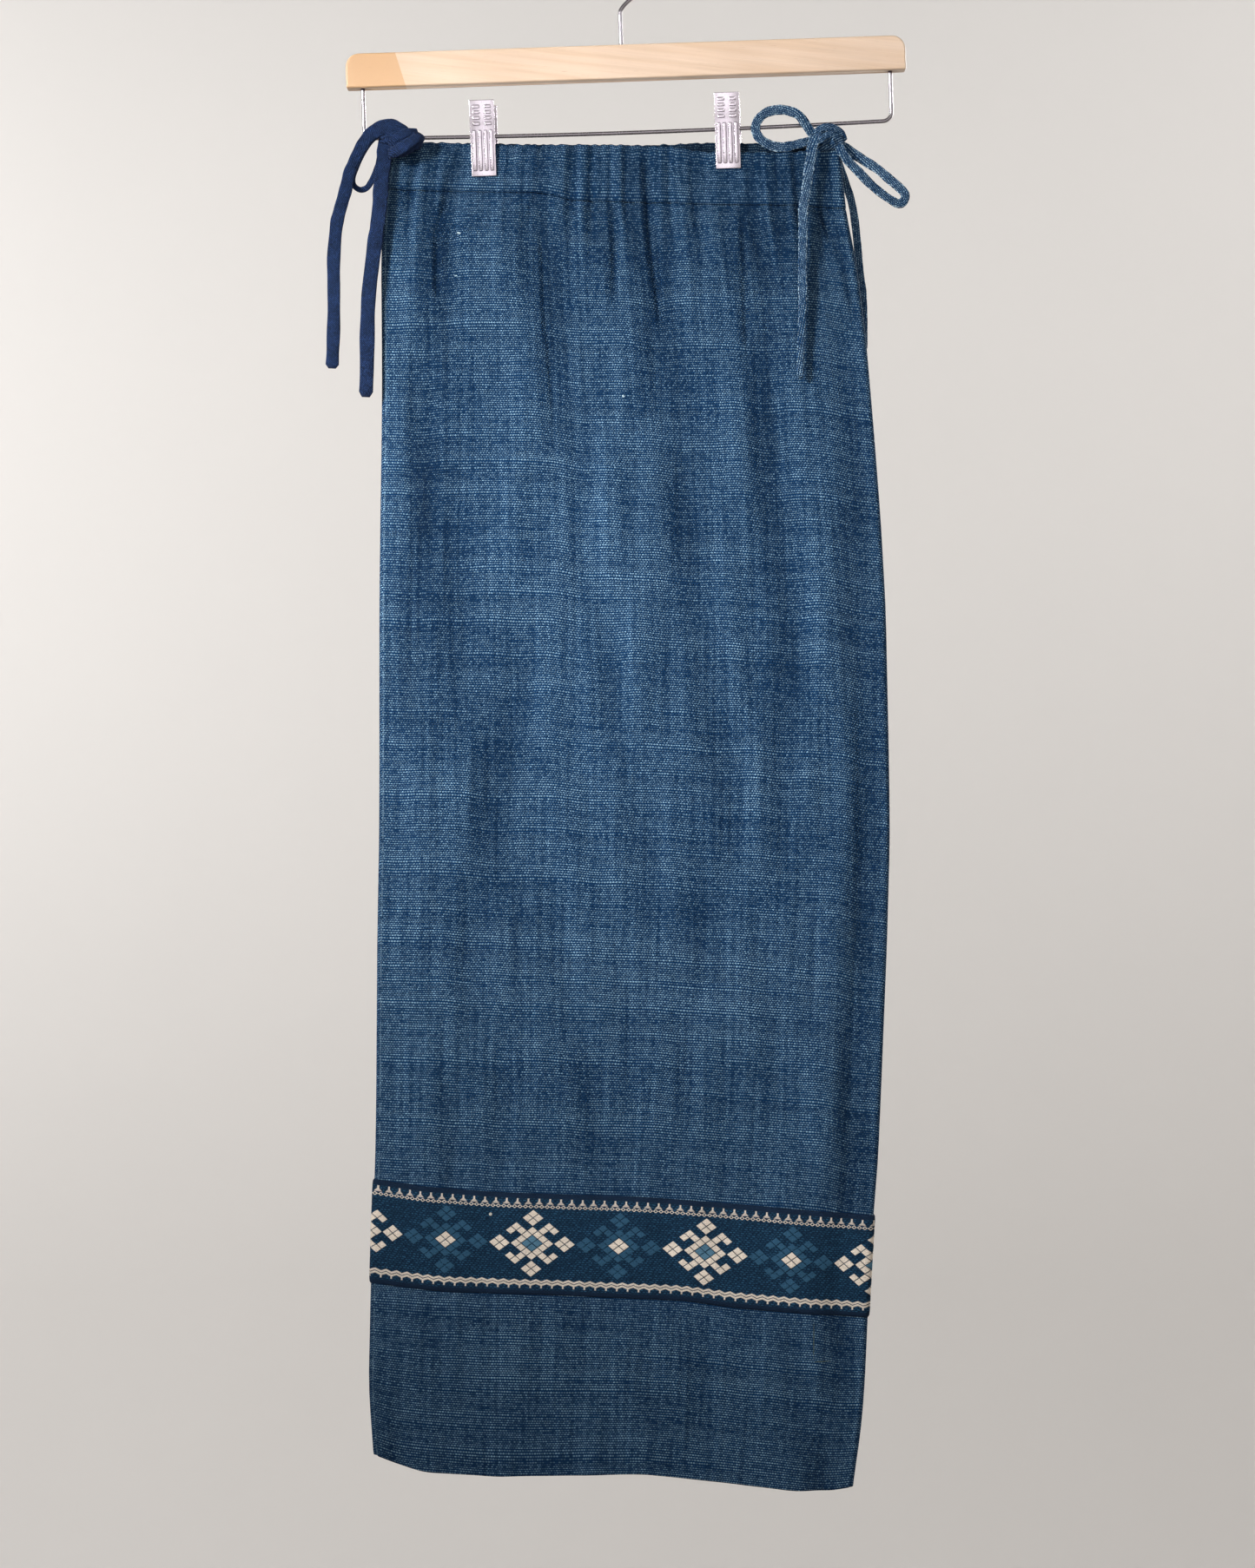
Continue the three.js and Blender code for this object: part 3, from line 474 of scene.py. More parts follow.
# The slot and finish of the ties and knots on either side
TIE_LOOKS = {"right": ("skirt_cloth", tie_cloth_finish()), "left": ("dark_tie", dark_finish("dark blue tape", True))}
KNOT_LOOKS = {"right": ("skirt_cloth", knot_cloth_finish()),
              "left": ("dark_tie", dark_finish("dark blue knot", False))}
for name, (node, length, wide, far_end, widths, thick, lean, route) in TIES.items():
    line = smooth_line(np.array(route) * MM, 5)
    share = np.linspace(0, 1, len(line))
    turns = np.radians(lean) * np.sin(2 * np.pi * (1.7 * share + chance.random()))
    piece = ride(tape(name, line, np.array(widths) * MM, thick * MM, turns), [node], *TIE_LOOKS[name.split("_")[0]])


def curled_lump(name, middle, radii, creases, lean):
    """A lump of folded cloth: a ball pulled to size, with creases wound round it."""
    bpy.ops.object.select_all(action="DESELECT")
    bpy.ops.mesh.primitive_uv_sphere_add(segments=56, ring_count=36, radius=1.0)
    lump = bpy.context.object
    lump.name = name
    place = np.empty(len(lump.data.vertices) * 3)
    lump.data.vertices.foreach_get("co", place)
    place = place.reshape(-1, 3)
    wound = np.arctan2(place[:, 2], place[:, 0]) + lean * place[:, 1]
    swell = 1 + 0.07 * np.sin(creases * wound + 2.2 * place[:, 1]) + 0.035 * np.sin(7 * wound - 5 * place[:, 1])
    place = place * swell[:, None] * np.array(radii) * MM + np.array(middle) * MM
    lump.data.vertices.foreach_set("co", place.ravel())
    lump.data.update()
    return lump


def joined(name, pieces):
    pick(*pieces)
    bpy.ops.object.join()
    pieces[0].name = name
    pieces[0].data.name = name
    return pieces[0]


# Each knot: its node; its lumps, with middle, half sizes, creases and how they lean; and the strands wound round
# it, with width, thickness and route
KNOTS = {
    "right_tie_knot": ("bow_right_knot", [
        ((135.6, -3.6, -125.6), (6, 9, 5.6), 3, 1.2), ((143.6, -2.4, -126.9), (7.4, 8.4, 5.9), 4, -0.9),
        ((139.6, -1.6, -130.2), (9.6, 5.6, 3.6), 5, 0.4),
    ], [
        (5.6, 2.2, [(131, -8.4, -124.6), (133.4, -10.4, -121.4), (138.4, -10.6, -119.4), (144, -9.6, -120),
                    (149.2, -7.4, -123), (151.4, -4.2, -127.6)]),
        (5.0, 2.2, [(134, -11.6, -130.4), (137.4, -12, -126), (142, -11.2, -124.2), (147, -9, -126.4),
                    (149.6, -6.4, -130.6)]),
    ]),
    "left_tie_knot": ("bow_left_knot", [
        ((-143.4, -10.15, -131), (9.2, 6, 7.4), 3, 0.8), ((-136, -11.4, -128.2), (7, 5.1, 6.2), 4, -1.1),
        ((-151.6, -10.6, -125.8), (7.6, 4.6, 5.4), 4, 1.4),
    ], [
        (8.0, 3.6, [(-131.4, -14.4, -125.4), (-134.6, -16, -128.4), (-139, -16.6, -131.4), (-144, -16, -134.8),
                    (-149, -14.2, -137), (-152.4, -11.6, -137.6)]),
        (6.4, 3.4, [(-133.2, -12, -123), (-138, -14.6, -123.6), (-143.4, -15.4, -125.4), (-148.6, -14.4, -128.6),
                    (-151.6, -12.2, -132)]),
    ]),
}
for name, (node, lumps, strands) in KNOTS.items():
    parts = [curled_lump(f"{name}_{i}", *lump) for i, lump in enumerate(lumps)]
    for i, (width, thick, route) in enumerate(strands):
        line = smooth_line(np.array(route) * MM, 5)
        widths = np.array([width * 0.7, width, width * 0.8]) * MM
        parts.append(tape(f"{name}_strand_{i}", line, widths, thick * MM, ends=0.2))
    ride(joined(name, parts), [node], *KNOT_LOOKS[name.split("_")[0]])

# ---- the cloth's own lines, as measured

SIDE_FOLD_RADIUS, SIDE_RISE = 3.5, 42.0
FOLD_SHADE_START, FOLD_SHADE_SPAN = 0.6, 2.6  # the fold depth from which painted shade starts, and over which it reaches its full strength
# Both side edges: height, left edge, right edge
EDGES = [
    (-128, -150, 148.4), (-149, -154.4, 150.2), (-172, -157.3, 152.4), (-207, -158.6, 159.6), (-253, -158.2, 165.6),
    (-294, -158, 169.2), (-335, -158.4, 172.6), (-381, -159.2, 176.1), (-439, -159.8, 179.4), (-543, -159.8, 181.6),
    (-593, -160, 182.2), (-665, -161.3, 180.2), (-764, -161.9, 176.2), (-810, -162.6, 174.2), (-845, -164, 171.2),
    (-903, -165.8, 167.8), (-961, -167, 165.2), (-990, -165, 162.8), (-1005, -163.8, 160.6),
    (-1030, -162, 156.8),
]
LEFT_EDGE, RIGHT_EDGE = [(z, left) for z, left, _ in EDGES], [(z, right) for z, _, right in EDGES]
HALF_DEPTHS = [(-128, 5.6), (-165, 6.8), (-230, 8.8), (-350, 9.6), (-560, 9.6), (-850, 9), (-1030, 8.4)]
TOP_FRONT = [(0, -131.6), (0.087, -128.1), (0.238, -129.9), (0.533, -130.4), (0.62, -131.6), (0.7, -134.7),
             (0.868, -134.9), (1, -132.9)]
TOP_BACK = [(0, -131.6), (0.087, -128.1), (0.533, -129.4), (0.7, -128.1), (0.868, -128.6), (1, -132.9)]
CASING_SEAM = [(0, -158.4), (0.042, -160), (0.336, -161.4), (0.41, -167.2), (0.614, -168.7), (0.885, -169.9),
               (1, -172.2)]
TRIM_TOP = [(0, -821.2), (0.097, -825.3), (0.245, -829.1), (0.533, -832.2), (0.65, -835.1), (0.838, -840.4),
            (1, -845.6)]
TRIM_BOTTOM = [(0, -890.8), (0.143, -895.8), (0.37, -898.2), (0.628, -901.8), (0.741, -907.1), (1, -914)]
HEM = [(0, -1005.1), (0.042, -1010.9), (0.105, -1016.1), (0.26, -1019.4), (0.56, -1017.7), (0.725, -1023.1),
       (0.88, -1029.2), (0.96, -1029.4), (1, -1027)]

# Gathers under the waist: place across, width, depth and how far down they run
GATHERS = [
    (0.05, 4.5, 1.5, 60), (0.104, 5, 2.2, 110), (0.142, 5.5, 2.4, 150), (0.205, 4.5, 1.4, 60),
    (0.27, 4.5, 1.5, 70), (0.305, 5, 2.2, 120), (0.345, 6, 2.6, 150), (0.4, 4.5, 1.5, 60),
    (0.445, 4.5, 1.8, 80), (0.487, 5, 2.2, 100), (0.53, 4.5, 1.6, 70), (0.572, 6, 2.6, 150),
    (0.612, 4.5, 1.8, 80), (0.671, 5.5, 2.2, 120), (0.728, 4.5, 1.8, 90), (0.765, 4.5, 1.6, 70),
    (0.806, 5.5, 2.4, 120), (0.846, 5, 2, 90), (0.886, 5, 2.2, 110), (0.936, 5, 2.2, 90),
    (0.966, 4, 1.4, 60),
]
# Long soft folds: place across at the top and the foot, width, depth, and the heights between which they run
LONG_FOLDS = [
    (0.117, 0.073, 14, 2.2, -168, -560), (0.185, 0.14, 15, 1.6, -250, -560), (0.28, 0.2, 17, 1.6, -430, -680),
    (0.34, 0.42, 16, 1.8, -170, -380), (0.57, 0.6, 18, 1.9, -172, -420), (0.62, 0.66, 17, 1.5, -330, -700),
    (0.78, 0.8, 16, 2.2, -172, -640), (0.962, 0.945, 11, 1.8, -230, -1040),
]
FOLD_GAIN = 1.35  # how much deeper than measured the long folds are drawn
LEAN = Matrix.Rotation(math.radians(-1.94), 4, "Y")
# The lower wire's run, its height at its ends and in the middle, its two posts and the radius of its corners
WIRE = {"left": -167.8, "right": 173.4, "end": -119.0, "middle": -121.0, "left_post": -173.8, "right_post": 179.4,
        "corner": 6}
CLIP_PLACES = {"left": -94.5, "right": 69.0}
PINCH = {"half": 2.0, "flat": 10.0, "fade": 34.0, "down": -151.0, "fade_down": 45.0}


def wire_height(x):
    share = (x - WIRE["left"]) / (WIRE["right"] - WIRE["left"])
    return WIRE["end"] + 4 * share * (1 - share) * (WIRE["middle"] - WIRE["end"])


def follow(table, at, reach):
    """Reads a table of places and values, rounded over a short reach on both sides."""
    places, values = np.array(table, float).T
    if places[0] > places[-1]:
        places, values = places[::-1], values[::-1]
    return np.mean([np.interp(at + reach * o, places, values) for o in (-1, -0.5, 0, 0.5, 1)], axis=0)


def soft_step(share):
    share = np.clip(share, 0, 1)
    return share * share * (3 - 2 * share)


def bell(distance, width):
    return np.exp(-((distance / width) ** 2))


# Single creases of the front: width, depth and the places they run through, from the top down
CREASES = [
    (2.6, 1.9, [(-107.5, -133), (-116.3, -168), (-120.5, -188), (-120.5, -230)]),
    (1.9, 1.1, [(-103.5, -136), (-111, -160), (-117, -176)]),
    (2.2, 1.3, [(-133.5, -138), (-138.6, -156), (-139, -172)]),
    (1.6, 1.3, [(-55.4, -163), (-58.6, -172), (-60.2, -180)]),
    (1.5, 0.9, [(-52, -190), (-50.3, -205), (-49.1, -242), (-46.6, -264), (-43.2, -310)]),
    (2.4, 1.8, [(18, -142), (20, -168), (22, -194), (25.9, -226), (28.2, -248)]),
    (2.6, 1.5, [(-2, -168), (-2, -200), (-3, -232)]),
    (2.6, 1.5, [(83.8, -164), (84, -200), (86, -262)]),
    (2.2, 1.4, [(141, -140), (145, -176), (151.6, -205), (155, -240)]),
    (2.2, 1.3, [(140.5, -148), (141.2, -172), (140, -190)]),
    (2.6, 1.7, [(130.2, -168), (144.2, -194.5), (151.1, -213.1), (158.1, -245.2)]),
    (2, 1.2, [(49, -140), (50, -165), (52, -182)]),
    (2, 1.2, [(112, -142), (112, -165), (113, -190)]),
]


def crease_depth(x, z):
    """How far the single creases press the front in."""
    depth = np.zeros_like(x)
    for wide, deep, route in CREASES:
        places, heights = np.array(route[::-1], float).T
        inside = soft_step((z - heights[0]) / 14 + 0.5) * soft_step((heights[-1] - z) / 8 + 0.5)
        depth += deep * inside * bell(x - np.interp(z, heights, places), wide)
    return depth


# Small uneven gathers between the main ones, another set on each side
SMALL_GATHERS = {
    side: [(chance.uniform(0.02, 0.98), chance.uniform(1.6, 3.0), chance.uniform(0.4, 1.15), chance.uniform(16, 70))
           for _ in range(58)]
    for side in (-1, 1)
}
# Slow waves that keep the hanging cloth from lying flat: size, turns across, turns down and start
WAVES = [(chance.uniform(0.08, 0.19), 2 * np.pi / chance.uniform(26, 95),
          2 * np.pi / chance.uniform(150, 480) * chance.choice([-1, 1]), chance.uniform(0, 2 * np.pi))
         for _ in range(16)]


def pinch_at(x, z):
    most = 0
    for place in CLIP_PLACES.values():
        middle = LEAN @ Vector((place, 0, wire_height(place)))
        sideways = 1 - soft_step((np.abs(x - middle.x) - PINCH["flat"]) / PINCH["fade"])
        most = np.maximum(most, sideways * (1 - soft_step((PINCH["down"] - z) / PINCH["fade_down"])))
    return most


def fold_depth(side, across, x, z, width):
    """How far the gathers, folds and slow waves press the cloth in."""
    seam = follow(CASING_SEAM, across, 0.01)
    below = np.maximum(0, seam - z)
    casing = np.where(z > seam, 0.8, 1.0)
    depth = crease_depth(x, z) if side < 0 else np.zeros_like(x)

    def gathered(place, wide, deep, long, widening):
        reach = bell((across - place) * width, wide * (1 + below / widening))
        return deep * (1 - soft_step(below / long)) * reach

    for gather in GATHERS:
        depth += casing * gathered(*gather, 90)
    for top, foot, wide, deep, start, end in LONG_FOLDS:
        share = np.clip((z - start) / (end - start), 0, 1)
        middle = top + (foot - top) * share
        depth += FOLD_GAIN * deep * np.sin(np.pi * share) ** 0.6 * bell((across - middle) * width, wide)
    for gather in SMALL_GATHERS[side]:
        depth += gathered(*gather, 60)
    for size, turn_x, turn_z, start in WAVES:
        depth += size * np.sin(turn_x * x + turn_z * z + start) * soft_step(below / 120)
    return depth


FRONT_COLUMNS, BACK_COLUMNS, ARC_STEPS = 270, 150, 6


def lies_flat(turn):
    """True where the cloth lies in the front or the back, False round the side folds."""
    return turn > np.pi / 2 - 1e-6


def round_places():
    """Places round the flat tube from the left fold: side, share across and turn of the fold, in radians."""
    arc = np.linspace(0, np.pi / 2, ARC_STEPS, endpoint=False)
    fore, rear = np.linspace(0, 1, FRONT_COLUMNS + 1), np.linspace(1, 0, BACK_COLUMNS + 1)
    turn = np.concatenate([arc, 0 * fore + np.pi / 2, arc[::-1], arc[1:], 0 * rear + np.pi / 2, arc[:0:-1]])
    share = np.concatenate([0 * arc, fore, 0 * arc + 1, 0 * arc[1:] + 1, rear, 0 * arc[1:]])
    front = 2 * len(arc) + FRONT_COLUMNS + 1
    side = np.where(np.arange(len(turn)) < front, -1, 1)
    return side, share, turn


def hung(heights, lift):
    """Points of rows of cloth and how much painted shade each gets in its folds. heights gives each row's height by
    side and share across.
    """
    side, share, turn = round_places()
    rows, fold_shades = [], []
    for height, out in zip(heights, lift):
        ends = height(side[:1], np.array([0.0]))[0], height(side[:1], np.array([1.0]))[0]
        left, right = follow(LEFT_EDGE, ends[0], 12), follow(RIGHT_EDGE, ends[1], 12)
        radius = SIDE_FOLD_RADIUS
        x = left + radius + share * (right - left - 2 * radius)
        across = (x - left) / (right - left)
        flat = lies_flat(turn)
        across = np.where(flat, across, share)
        z = height(side, across)
        inside = soft_step(np.minimum(x - left, right - x) / SIDE_RISE)
        rise = follow(HALF_DEPTHS, z, 15) - radius
        depth = np.where(side < 0, fold_depth(-1, across, x, z, right - left),
                         fold_depth(1, 1 - across, -x, z, right - left))
        half = radius + rise * inside - depth * np.minimum(1, inside * 2)
        pinch = pinch_at(x, z)
        half = half + (PINCH["half"] - half) * pinch
        out = out(pinch) if callable(out) else out
        arc_x = np.where(share < 0.5, -1, 1) * (radius + out) * np.cos(turn)
        y = np.where(flat, side * (half + out), side * (radius + out) * np.sin(turn))
        rows.append(np.stack([x + np.where(flat, 0, arc_x), y, z], axis=-1))
        # painted shade: the deeper a fold presses in, the darker its cloth is painted
        fold_shades.append(np.where(flat, depth - FOLD_SHADE_START, 0.0) / FOLD_SHADE_SPAN)
    return np.array(rows) * MM, np.clip(fold_shades, -0.3, 1.2)


def between(upper, lower, share):
    def height(side, across):
        top = follow(upper, across, 0.02)
        return top + (follow(lower, across, 0.02) - top) * share
    return height


def round_lengths(points):
    """The length round a row of points from the left fold, with the way back to the start."""
    closed = np.vstack([points, points[:1]])
    return np.concatenate([[0], np.cumsum(np.linalg.norm(np.diff(closed, axis=0), axis=1))])


side, _, turn = round_places()
plain_row = hung([lambda side, across: follow(TRIM_TOP, across, 0.02)], [0.0])[0][0]
plain_round = round_lengths(plain_row)
CLOTH_THICK, TRIM_THICK = 1.1, 0.95
THREAD_SWAY = 0.55  # how far the weft rows dip where a fold stands out

# ---- skirt

# The skirt's bands: upper and lower line, where it starts down the cloth, its length in metres, and its rows
SKIRT_BANDS = [
    (CASING_SEAM, TRIM_TOP, 0.0, 0.667, [0.0003, 0.0025, *np.linspace(0.006, 0.2, 44), *np.linspace(0.215, 1, 32)]),
    (TRIM_TOP, TRIM_BOTTOM, 0.667, 0.069, np.linspace(0.25, 1, 4)),
    (TRIM_BOTTOM, HEM, 0.736, 0.118, [*np.linspace(0.1, 0.96, 9), 0.985, 1.0]),
]
skirt_rows = [between(upper, lower, s) for upper, lower, _, _, shares in SKIRT_BANDS for s in shares]
down = np.array([start + long * s for _, _, start, long, shares in SKIRT_BANDS for s in shares])
skirt_lift = [-0.3, -0.08] + [0.0] * (len(skirt_rows) - 3) + [-0.15]
skirt_points, skirt_fold_shades = hung(skirt_rows, skirt_lift)
sway = np.concatenate([skirt_points[:, :, 1], skirt_points[:, :1, 1]], axis=1)
skirt_v = down[:, None] + THREAD_SWAY * np.abs(sway)
skirt_cloth = skirt_finish()
skirt = woven("skirt_cloth", skirt_points, plain_round, skirt_v, fold_shades=skirt_fold_shades)
backed(skirt, CLOTH_THICK)
ride(skirt, ["skirt_hip_front", "skirt_hip_back", "skirt_front", "skirt_back"], "skirt_cloth", skirt_cloth)

# ---- waist casing

CASING_SECTION = [  # share of the way down, and how far out from the wall's face
    (-0.02, -0.85), (0, -0.4), (0.04, -0.05), (0.12, 0.15), (0.25, 0.3), (0.4, 0.36), (0.55, 0.36), (0.7, 0.3),
    (0.82, 0.22), (0.9, 0.12), (0.96, 0.05), (0.995, -0.2), (0.998, -1.2), (0.94, -1.7), (0.7, -1.8), (0.4, -1.8),
    (0.1, -1.7), (0, -1.3),
]


def casing_height(share):
    def height(side, across):
        top = np.where(side < 0, follow(TOP_FRONT, across, 0.015), follow(TOP_BACK, across, 0.015))
        rough = np.sin(across * 330 + 3 * side) * 0.22 + np.sin(across * 187 + side) * 0.3
        top = top + rough * np.minimum(1, 12 * np.minimum(across, 1 - across))
        return top + (follow(CASING_SEAM, across, 0.02) - top) * share
    return height


def puffed(lift):
    return lambda pinch: lift * (1 - pinch) + np.minimum(lift, 0) * pinch


CASING_HIGH, CASING_THREAD_START = 33, -0.031
casing_points, casing_fold_shades = hung([casing_height(s) for s, _ in CASING_SECTION],
                                     [puffed(out) for _, out in CASING_SECTION])
section_run = np.array([0.0] + [
    math.hypot((b[0] - a[0]) * CASING_HIGH, b[1] - a[1])
    for a, b in zip(CASING_SECTION, CASING_SECTION[1:] + CASING_SECTION[:1])]).cumsum() * MM
casing = woven("waist_casing", casing_points, plain_round, section_run[:, None] + CASING_THREAD_START,
               closed_rows=True, fold_shades=casing_fold_shades)
ride(casing, ["waistband_front", "waistband_back"], "skirt_cloth", skirt_cloth)

# ---- woven trim

CELL_WIDE, CELL_HIGH = 7.25 * MM, 5.7 * MM
MOTIF_CENTRE = -55.7 * MM
TRIM_HIGH, TRIM_MIDDLE = 0.0685, 0.0337
DASH_LONG, DASH_HIGH = 2.7 * MM, 1.4 * MM


def trim_finish():
    """A brocade band: lozenge-and-hook figures, cream and blue by turns, between zigzag borders."""
    finish = Finish("brocade band", 0.85, gloss=0.12)
    u, v = finish.laid_out()
    margin, cream, blue = tone(18, 36, 58), tone(228, 216, 202), tone(46, 84, 111)
    q, p = u / CELL_WIDE, (v - TRIM_MIDDLE) / CELL_HIGH
    turn_count = (q + 4.0) / 8.0
    blue_turn = turn_count.floor().wrapped(0.0, 2.0)
    local = turn_count.fract() * 8.0 - 4.0
    wide, tall = local.size(), p.size()
    i, j = wide + tall, wide - tall
    fi, fj = i.floor(), j.floor()

    def cell(value, *numbers):
        return largest(*((value - number).size().fading(0.1, 0.4) for number in numbers))

    in_field = p.size().fading(4.05, 4.15)
    hooks = (cell(fi, 2.0) * cell(fj, -1.0)).larger(cell(fi, 3.0) * cell(fj, -1.0, 0.0))
    outer = cell(fi, 2.0, 3.0) * cell(fj, 2.0, 3.0, -3.0, -4.0)
    figure, centre = largest(cell(fi, 1.0), hooks, outer) * in_field, cell(fi, 0.0) * in_field

    # every lozenge keeps a dark outline
    gi, gj = (q + p).fract() - 0.5, (q - p).fract() - 0.5
    inked = gi.size().larger(gj.size()).fading(0.4, 0.49)

    main = finish.blend(blue_turn, cream, blue)
    heart = finish.blend(blue_turn, tone(84, 124, 148), cream)
    wobble = finish.cloudy((u * 260.0, v * 260.0), 1.0, 0.5)
    dash_row = (v + (wobble - 0.5) * 0.0012) / DASH_HIGH
    dash_place = u / DASH_LONG + dash_row.floor() * 0.37 + wobble * 1.4
    dash_share = finish.scattered(dash_place.floor(), dash_row.floor())
    dashes = (dash_place.fract() - 0.5).size().fading(0.2, 0.42) * (
        dash_row.fract() - 0.5).size().fading(0.12, 0.4) * (dash_share * 0.8 + 0.25)
    faint = finish.blend(dashes * 0.9 + inked * 0.1, tone(6, 28, 50), tone(42, 84, 114))

    # borders: a row of crowns on a zigzag above, a double zigzag with drops below
    above = (v - 0.0035) / 0.0067
    peak = ((u / CELL_WIDE).fract() - 0.5).size()
    link = ((u / CELL_WIDE * 2.0).fract() - 0.5).size() * 2.0 + ((above - 0.82) / 0.19).size()
    zig = (link - 0.78).size().fading(0.18, 0.34)
    crown = (peak * 1.1 - (above - 0.2)).fading(-0.05, 0.05) * above.even(0.2, 0.26) * above.fading(0.56, 0.62) * (
        1.0 - ((above / 0.14).fract() - 0.5).size().even(0.36, 0.46) * 0.7)
    stem = peak.fading(0.06, 0.1) * above.even(-0.04, 0.04) * above.fading(0.3, 0.36)
    top_mark = largest(zig, crown, stem) * above.even(0.0, 0.02) * above.fading(0.98, 1.02)
    under = (v - 0.0572) / 0.0078
    zags = [(under - start - peak * 0.36).size().fading(0.06, 0.12) for start in (0.16, 0.4)]
    drop = (0.5 - peak).fading(0.05, 0.1) * under.even(0.5, 0.56) * under.fading(0.82, 0.88)
    low_mark = largest(*zags, drop) * under.even(0.0, 0.04) * under.fading(0.98, 1.02)
    border = top_mark.larger(low_mark)
    plain = v.fading(0.0034, 0.0037).larger(v.even(0.0649, 0.0652))
    slub = speck(*finish.in_space(), -84.9, -843.8, 1.1, 1.1)
    colour = faint
    for share, paint in ((figure * inked, main), (centre * inked, heart), (plain, margin), (border * 0.9, cream),
                         (slub, tone(210, 206, 194))):
        colour = finish.blend(share, colour, paint)

    thread = finish.cloudy((u * 900.0, v * 2600.0), 2.0, 0.6)
    worn = finish.cloudy((u * 60.0, v * 60.0), 3.0, 0.6)
    ribs = ((v / 0.0009).fract() - 0.5).size()
    colour = finish.shaded(colour, uneven((thread, 1.5), (worn, 0.5)) + ribs * 0.5 + 0.86)
    raised = largest(figure * inked, centre * inked, border)
    return finish.finished(colour, raised * 0.8 + ribs * 0.3 + thread * 0.5 + dashes * 0.5, 0.0004)


trim_rows = [0.0, 0.015, 0.05] + list(np.linspace(0.1, 0.9, 13)) + [0.95, 0.985, 1.0]
trim_lift = [0.35, 1.0, 1.25] + [1.3] * 13 + [1.25, 1.0, 0.35]
trim_points = hung([between(TRIM_TOP, TRIM_BOTTOM, s) for s in trim_rows], trim_lift)[0]
front_flat = (side < 0) & lies_flat(turn)
start = np.interp(MOTIF_CENTRE, plain_row[front_flat, 0], plain_round[:-1][front_flat])
trim = woven("woven_trim", trim_points, plain_round - start, np.array(trim_rows)[:, None] * TRIM_HIGH)
backed(trim, TRIM_THICK)
ride(trim, ["trim_front", "trim_back"], "trim_band", trim_finish())

# ---- hanger


def metal_finish(name, dark, light):
    """Plated metal, with painted shade in its grooves."""
    finish = Finish(name, 0.16, metallic=1.0)
    x, y, z = finish.in_space()
    scuff = finish.cloudy((x * 900.0, y * 900.0, z * 260.0), 4.0, 0.7)
    haze = finish.cloudy((x * 70.0, y * 70.0, z * 70.0), 2.0, 0.5)
    # Painted shade: where ambient occlusion finds metal close by, in the grooves between ribs and marks, the colour
    # darkens to a dusky purple.
    shelter = finish.add("ShaderNodeAmbientOcclusion", {"samples": 8}, Distance=0.002)
    groove_shade = Reading(finish, shelter.outputs["AO"]).fading(0.6, 1.0)
    colour = finish.blend(groove_shade * 0.9, finish.blend(haze, dark, light), tone(62, 48, 68))
    rough = finish.ranged(scuff, 0.3, 0.8, 0.24, 0.3)
    return finish.finished(colour, scuff, 0.000002, rough)


JOINT = {"left": 0.147, "down": 0.075, "slant": 0.32}  # where two lengths of the bar's wood meet


def wood_finish():
    """Pale lacquered wood: long grain, soft bands and small pores."""
    finish = Finish("pale lacquered wood", 0.42)
    finish.shader.inputs["Coat Weight"].default_value = 0.25
    finish.shader.inputs["Coat Roughness"].default_value = 0.2
    x, y, z = finish.in_space()
    slant = z + x * 0.11
    bands = finish.cloudy((x * 7.0, y * 60.0, slant * 210.0), 4.0, 0.55)
    grain = finish.cloudy((x * 26.0, y * 420.0, slant * 1300.0), 3.0, 0.6)
    pores = finish.cloudy((x * 130.0, y * 1500.0, z * 2600.0), 2.0, 0.5).even(0.66, 0.74)
    patch = finish.cloudy((x * 16.0, y * 16.0, z * 16.0), 2.0, 0.5)
    colour = finish.blend(bands.even(0.3, 0.7), tone(221, 190, 160), tone(231, 204, 180))
    colour = finish.shaded(colour, uneven((grain, 0.18), (patch, 0.2)) + 1.0)
    joint = (JOINT["left"] + x + (z + JOINT["down"]) * JOINT["slant"]).even(0.0, 0.0006)
    colour = finish.shaded(finish.blend(1.0 - joint, colour, tone(218, 176, 134)), joint * 0.04 + 0.96)
    colour = finish.blend(pores * 0.35, colour, tone(186, 144, 108))
    return finish.finished(colour, bands * 0.4 + grain * 0.4 - pores * 0.3, 0.00008)


plating = metal_finish("bright plating", tone(208, 198, 210), tone(226, 218, 228))
wire_plating = metal_finish("wire plating", tone(142, 138, 143), tone(168, 162, 168))
pale_wood = wood_finish()
WIRE_DIAMETER, HOOK_RADIUS = 2.7, 17.0
BAR = {"left": -184.5, "right": 189.8, "top": -62.8, "height": 23.0, "depth": 11.0, "corner": 9.0}
BAR["foot"] = BAR["top"] - BAR["height"]
WIRE_SEAT, SEAT_GAP, BORE_RADIUS = 13.0, 0.3, 1.65


def wire_mesh(name, line, thick):
    """A round wire along a line, as a mesh with closed ends."""
    curve = bpy.data.curves.new(name, "CURVE")
    curve.dimensions = "3D"
    curve.bevel_depth, curve.bevel_resolution, curve.use_fill_caps = thick / 2 * MM, 5, True
    spline = curve.splines.new("POLY")
    spline.points.add(len(line) - 1)
    for point, place in zip(spline.points, np.array(line) * MM):
        point.co = (*place, 1)
    pick(placed(name, curve))
    bpy.ops.object.convert(target="MESH")
    return bpy.context.object


def leaned(piece, seat=Matrix()):
    """A piece moved to its seat on the hanger, and leaned with the hanger."""
    piece.data.transform(LEAN @ seat)
    return piece


hook_middle = WIRE_DIAMETER / 2 - HOOK_RADIUS
hook_line = [(0, BAR["top"] - WIRE_SEAT + SEAT_GAP), (0, BAR["top"] + 12), (0, hook_middle - 25),
             (0.9, hook_middle - 22.5), (3.4, hook_middle - 19.4), (7.4, hook_middle - 15.9)]
for angle in np.radians(np.linspace(-48, 208, 17)):
    hook_line.append((HOOK_RADIUS * math.cos(angle), hook_middle + HOOK_RADIUS * math.sin(angle)))
hook = wire_mesh("hanger_hook_wire", smooth_line([(x, 0, z) for x, z in hook_line], 6), WIRE_DIAMETER)
ride(leaned(hook), ["hanger_hook"], "bright_metal", wire_plating)


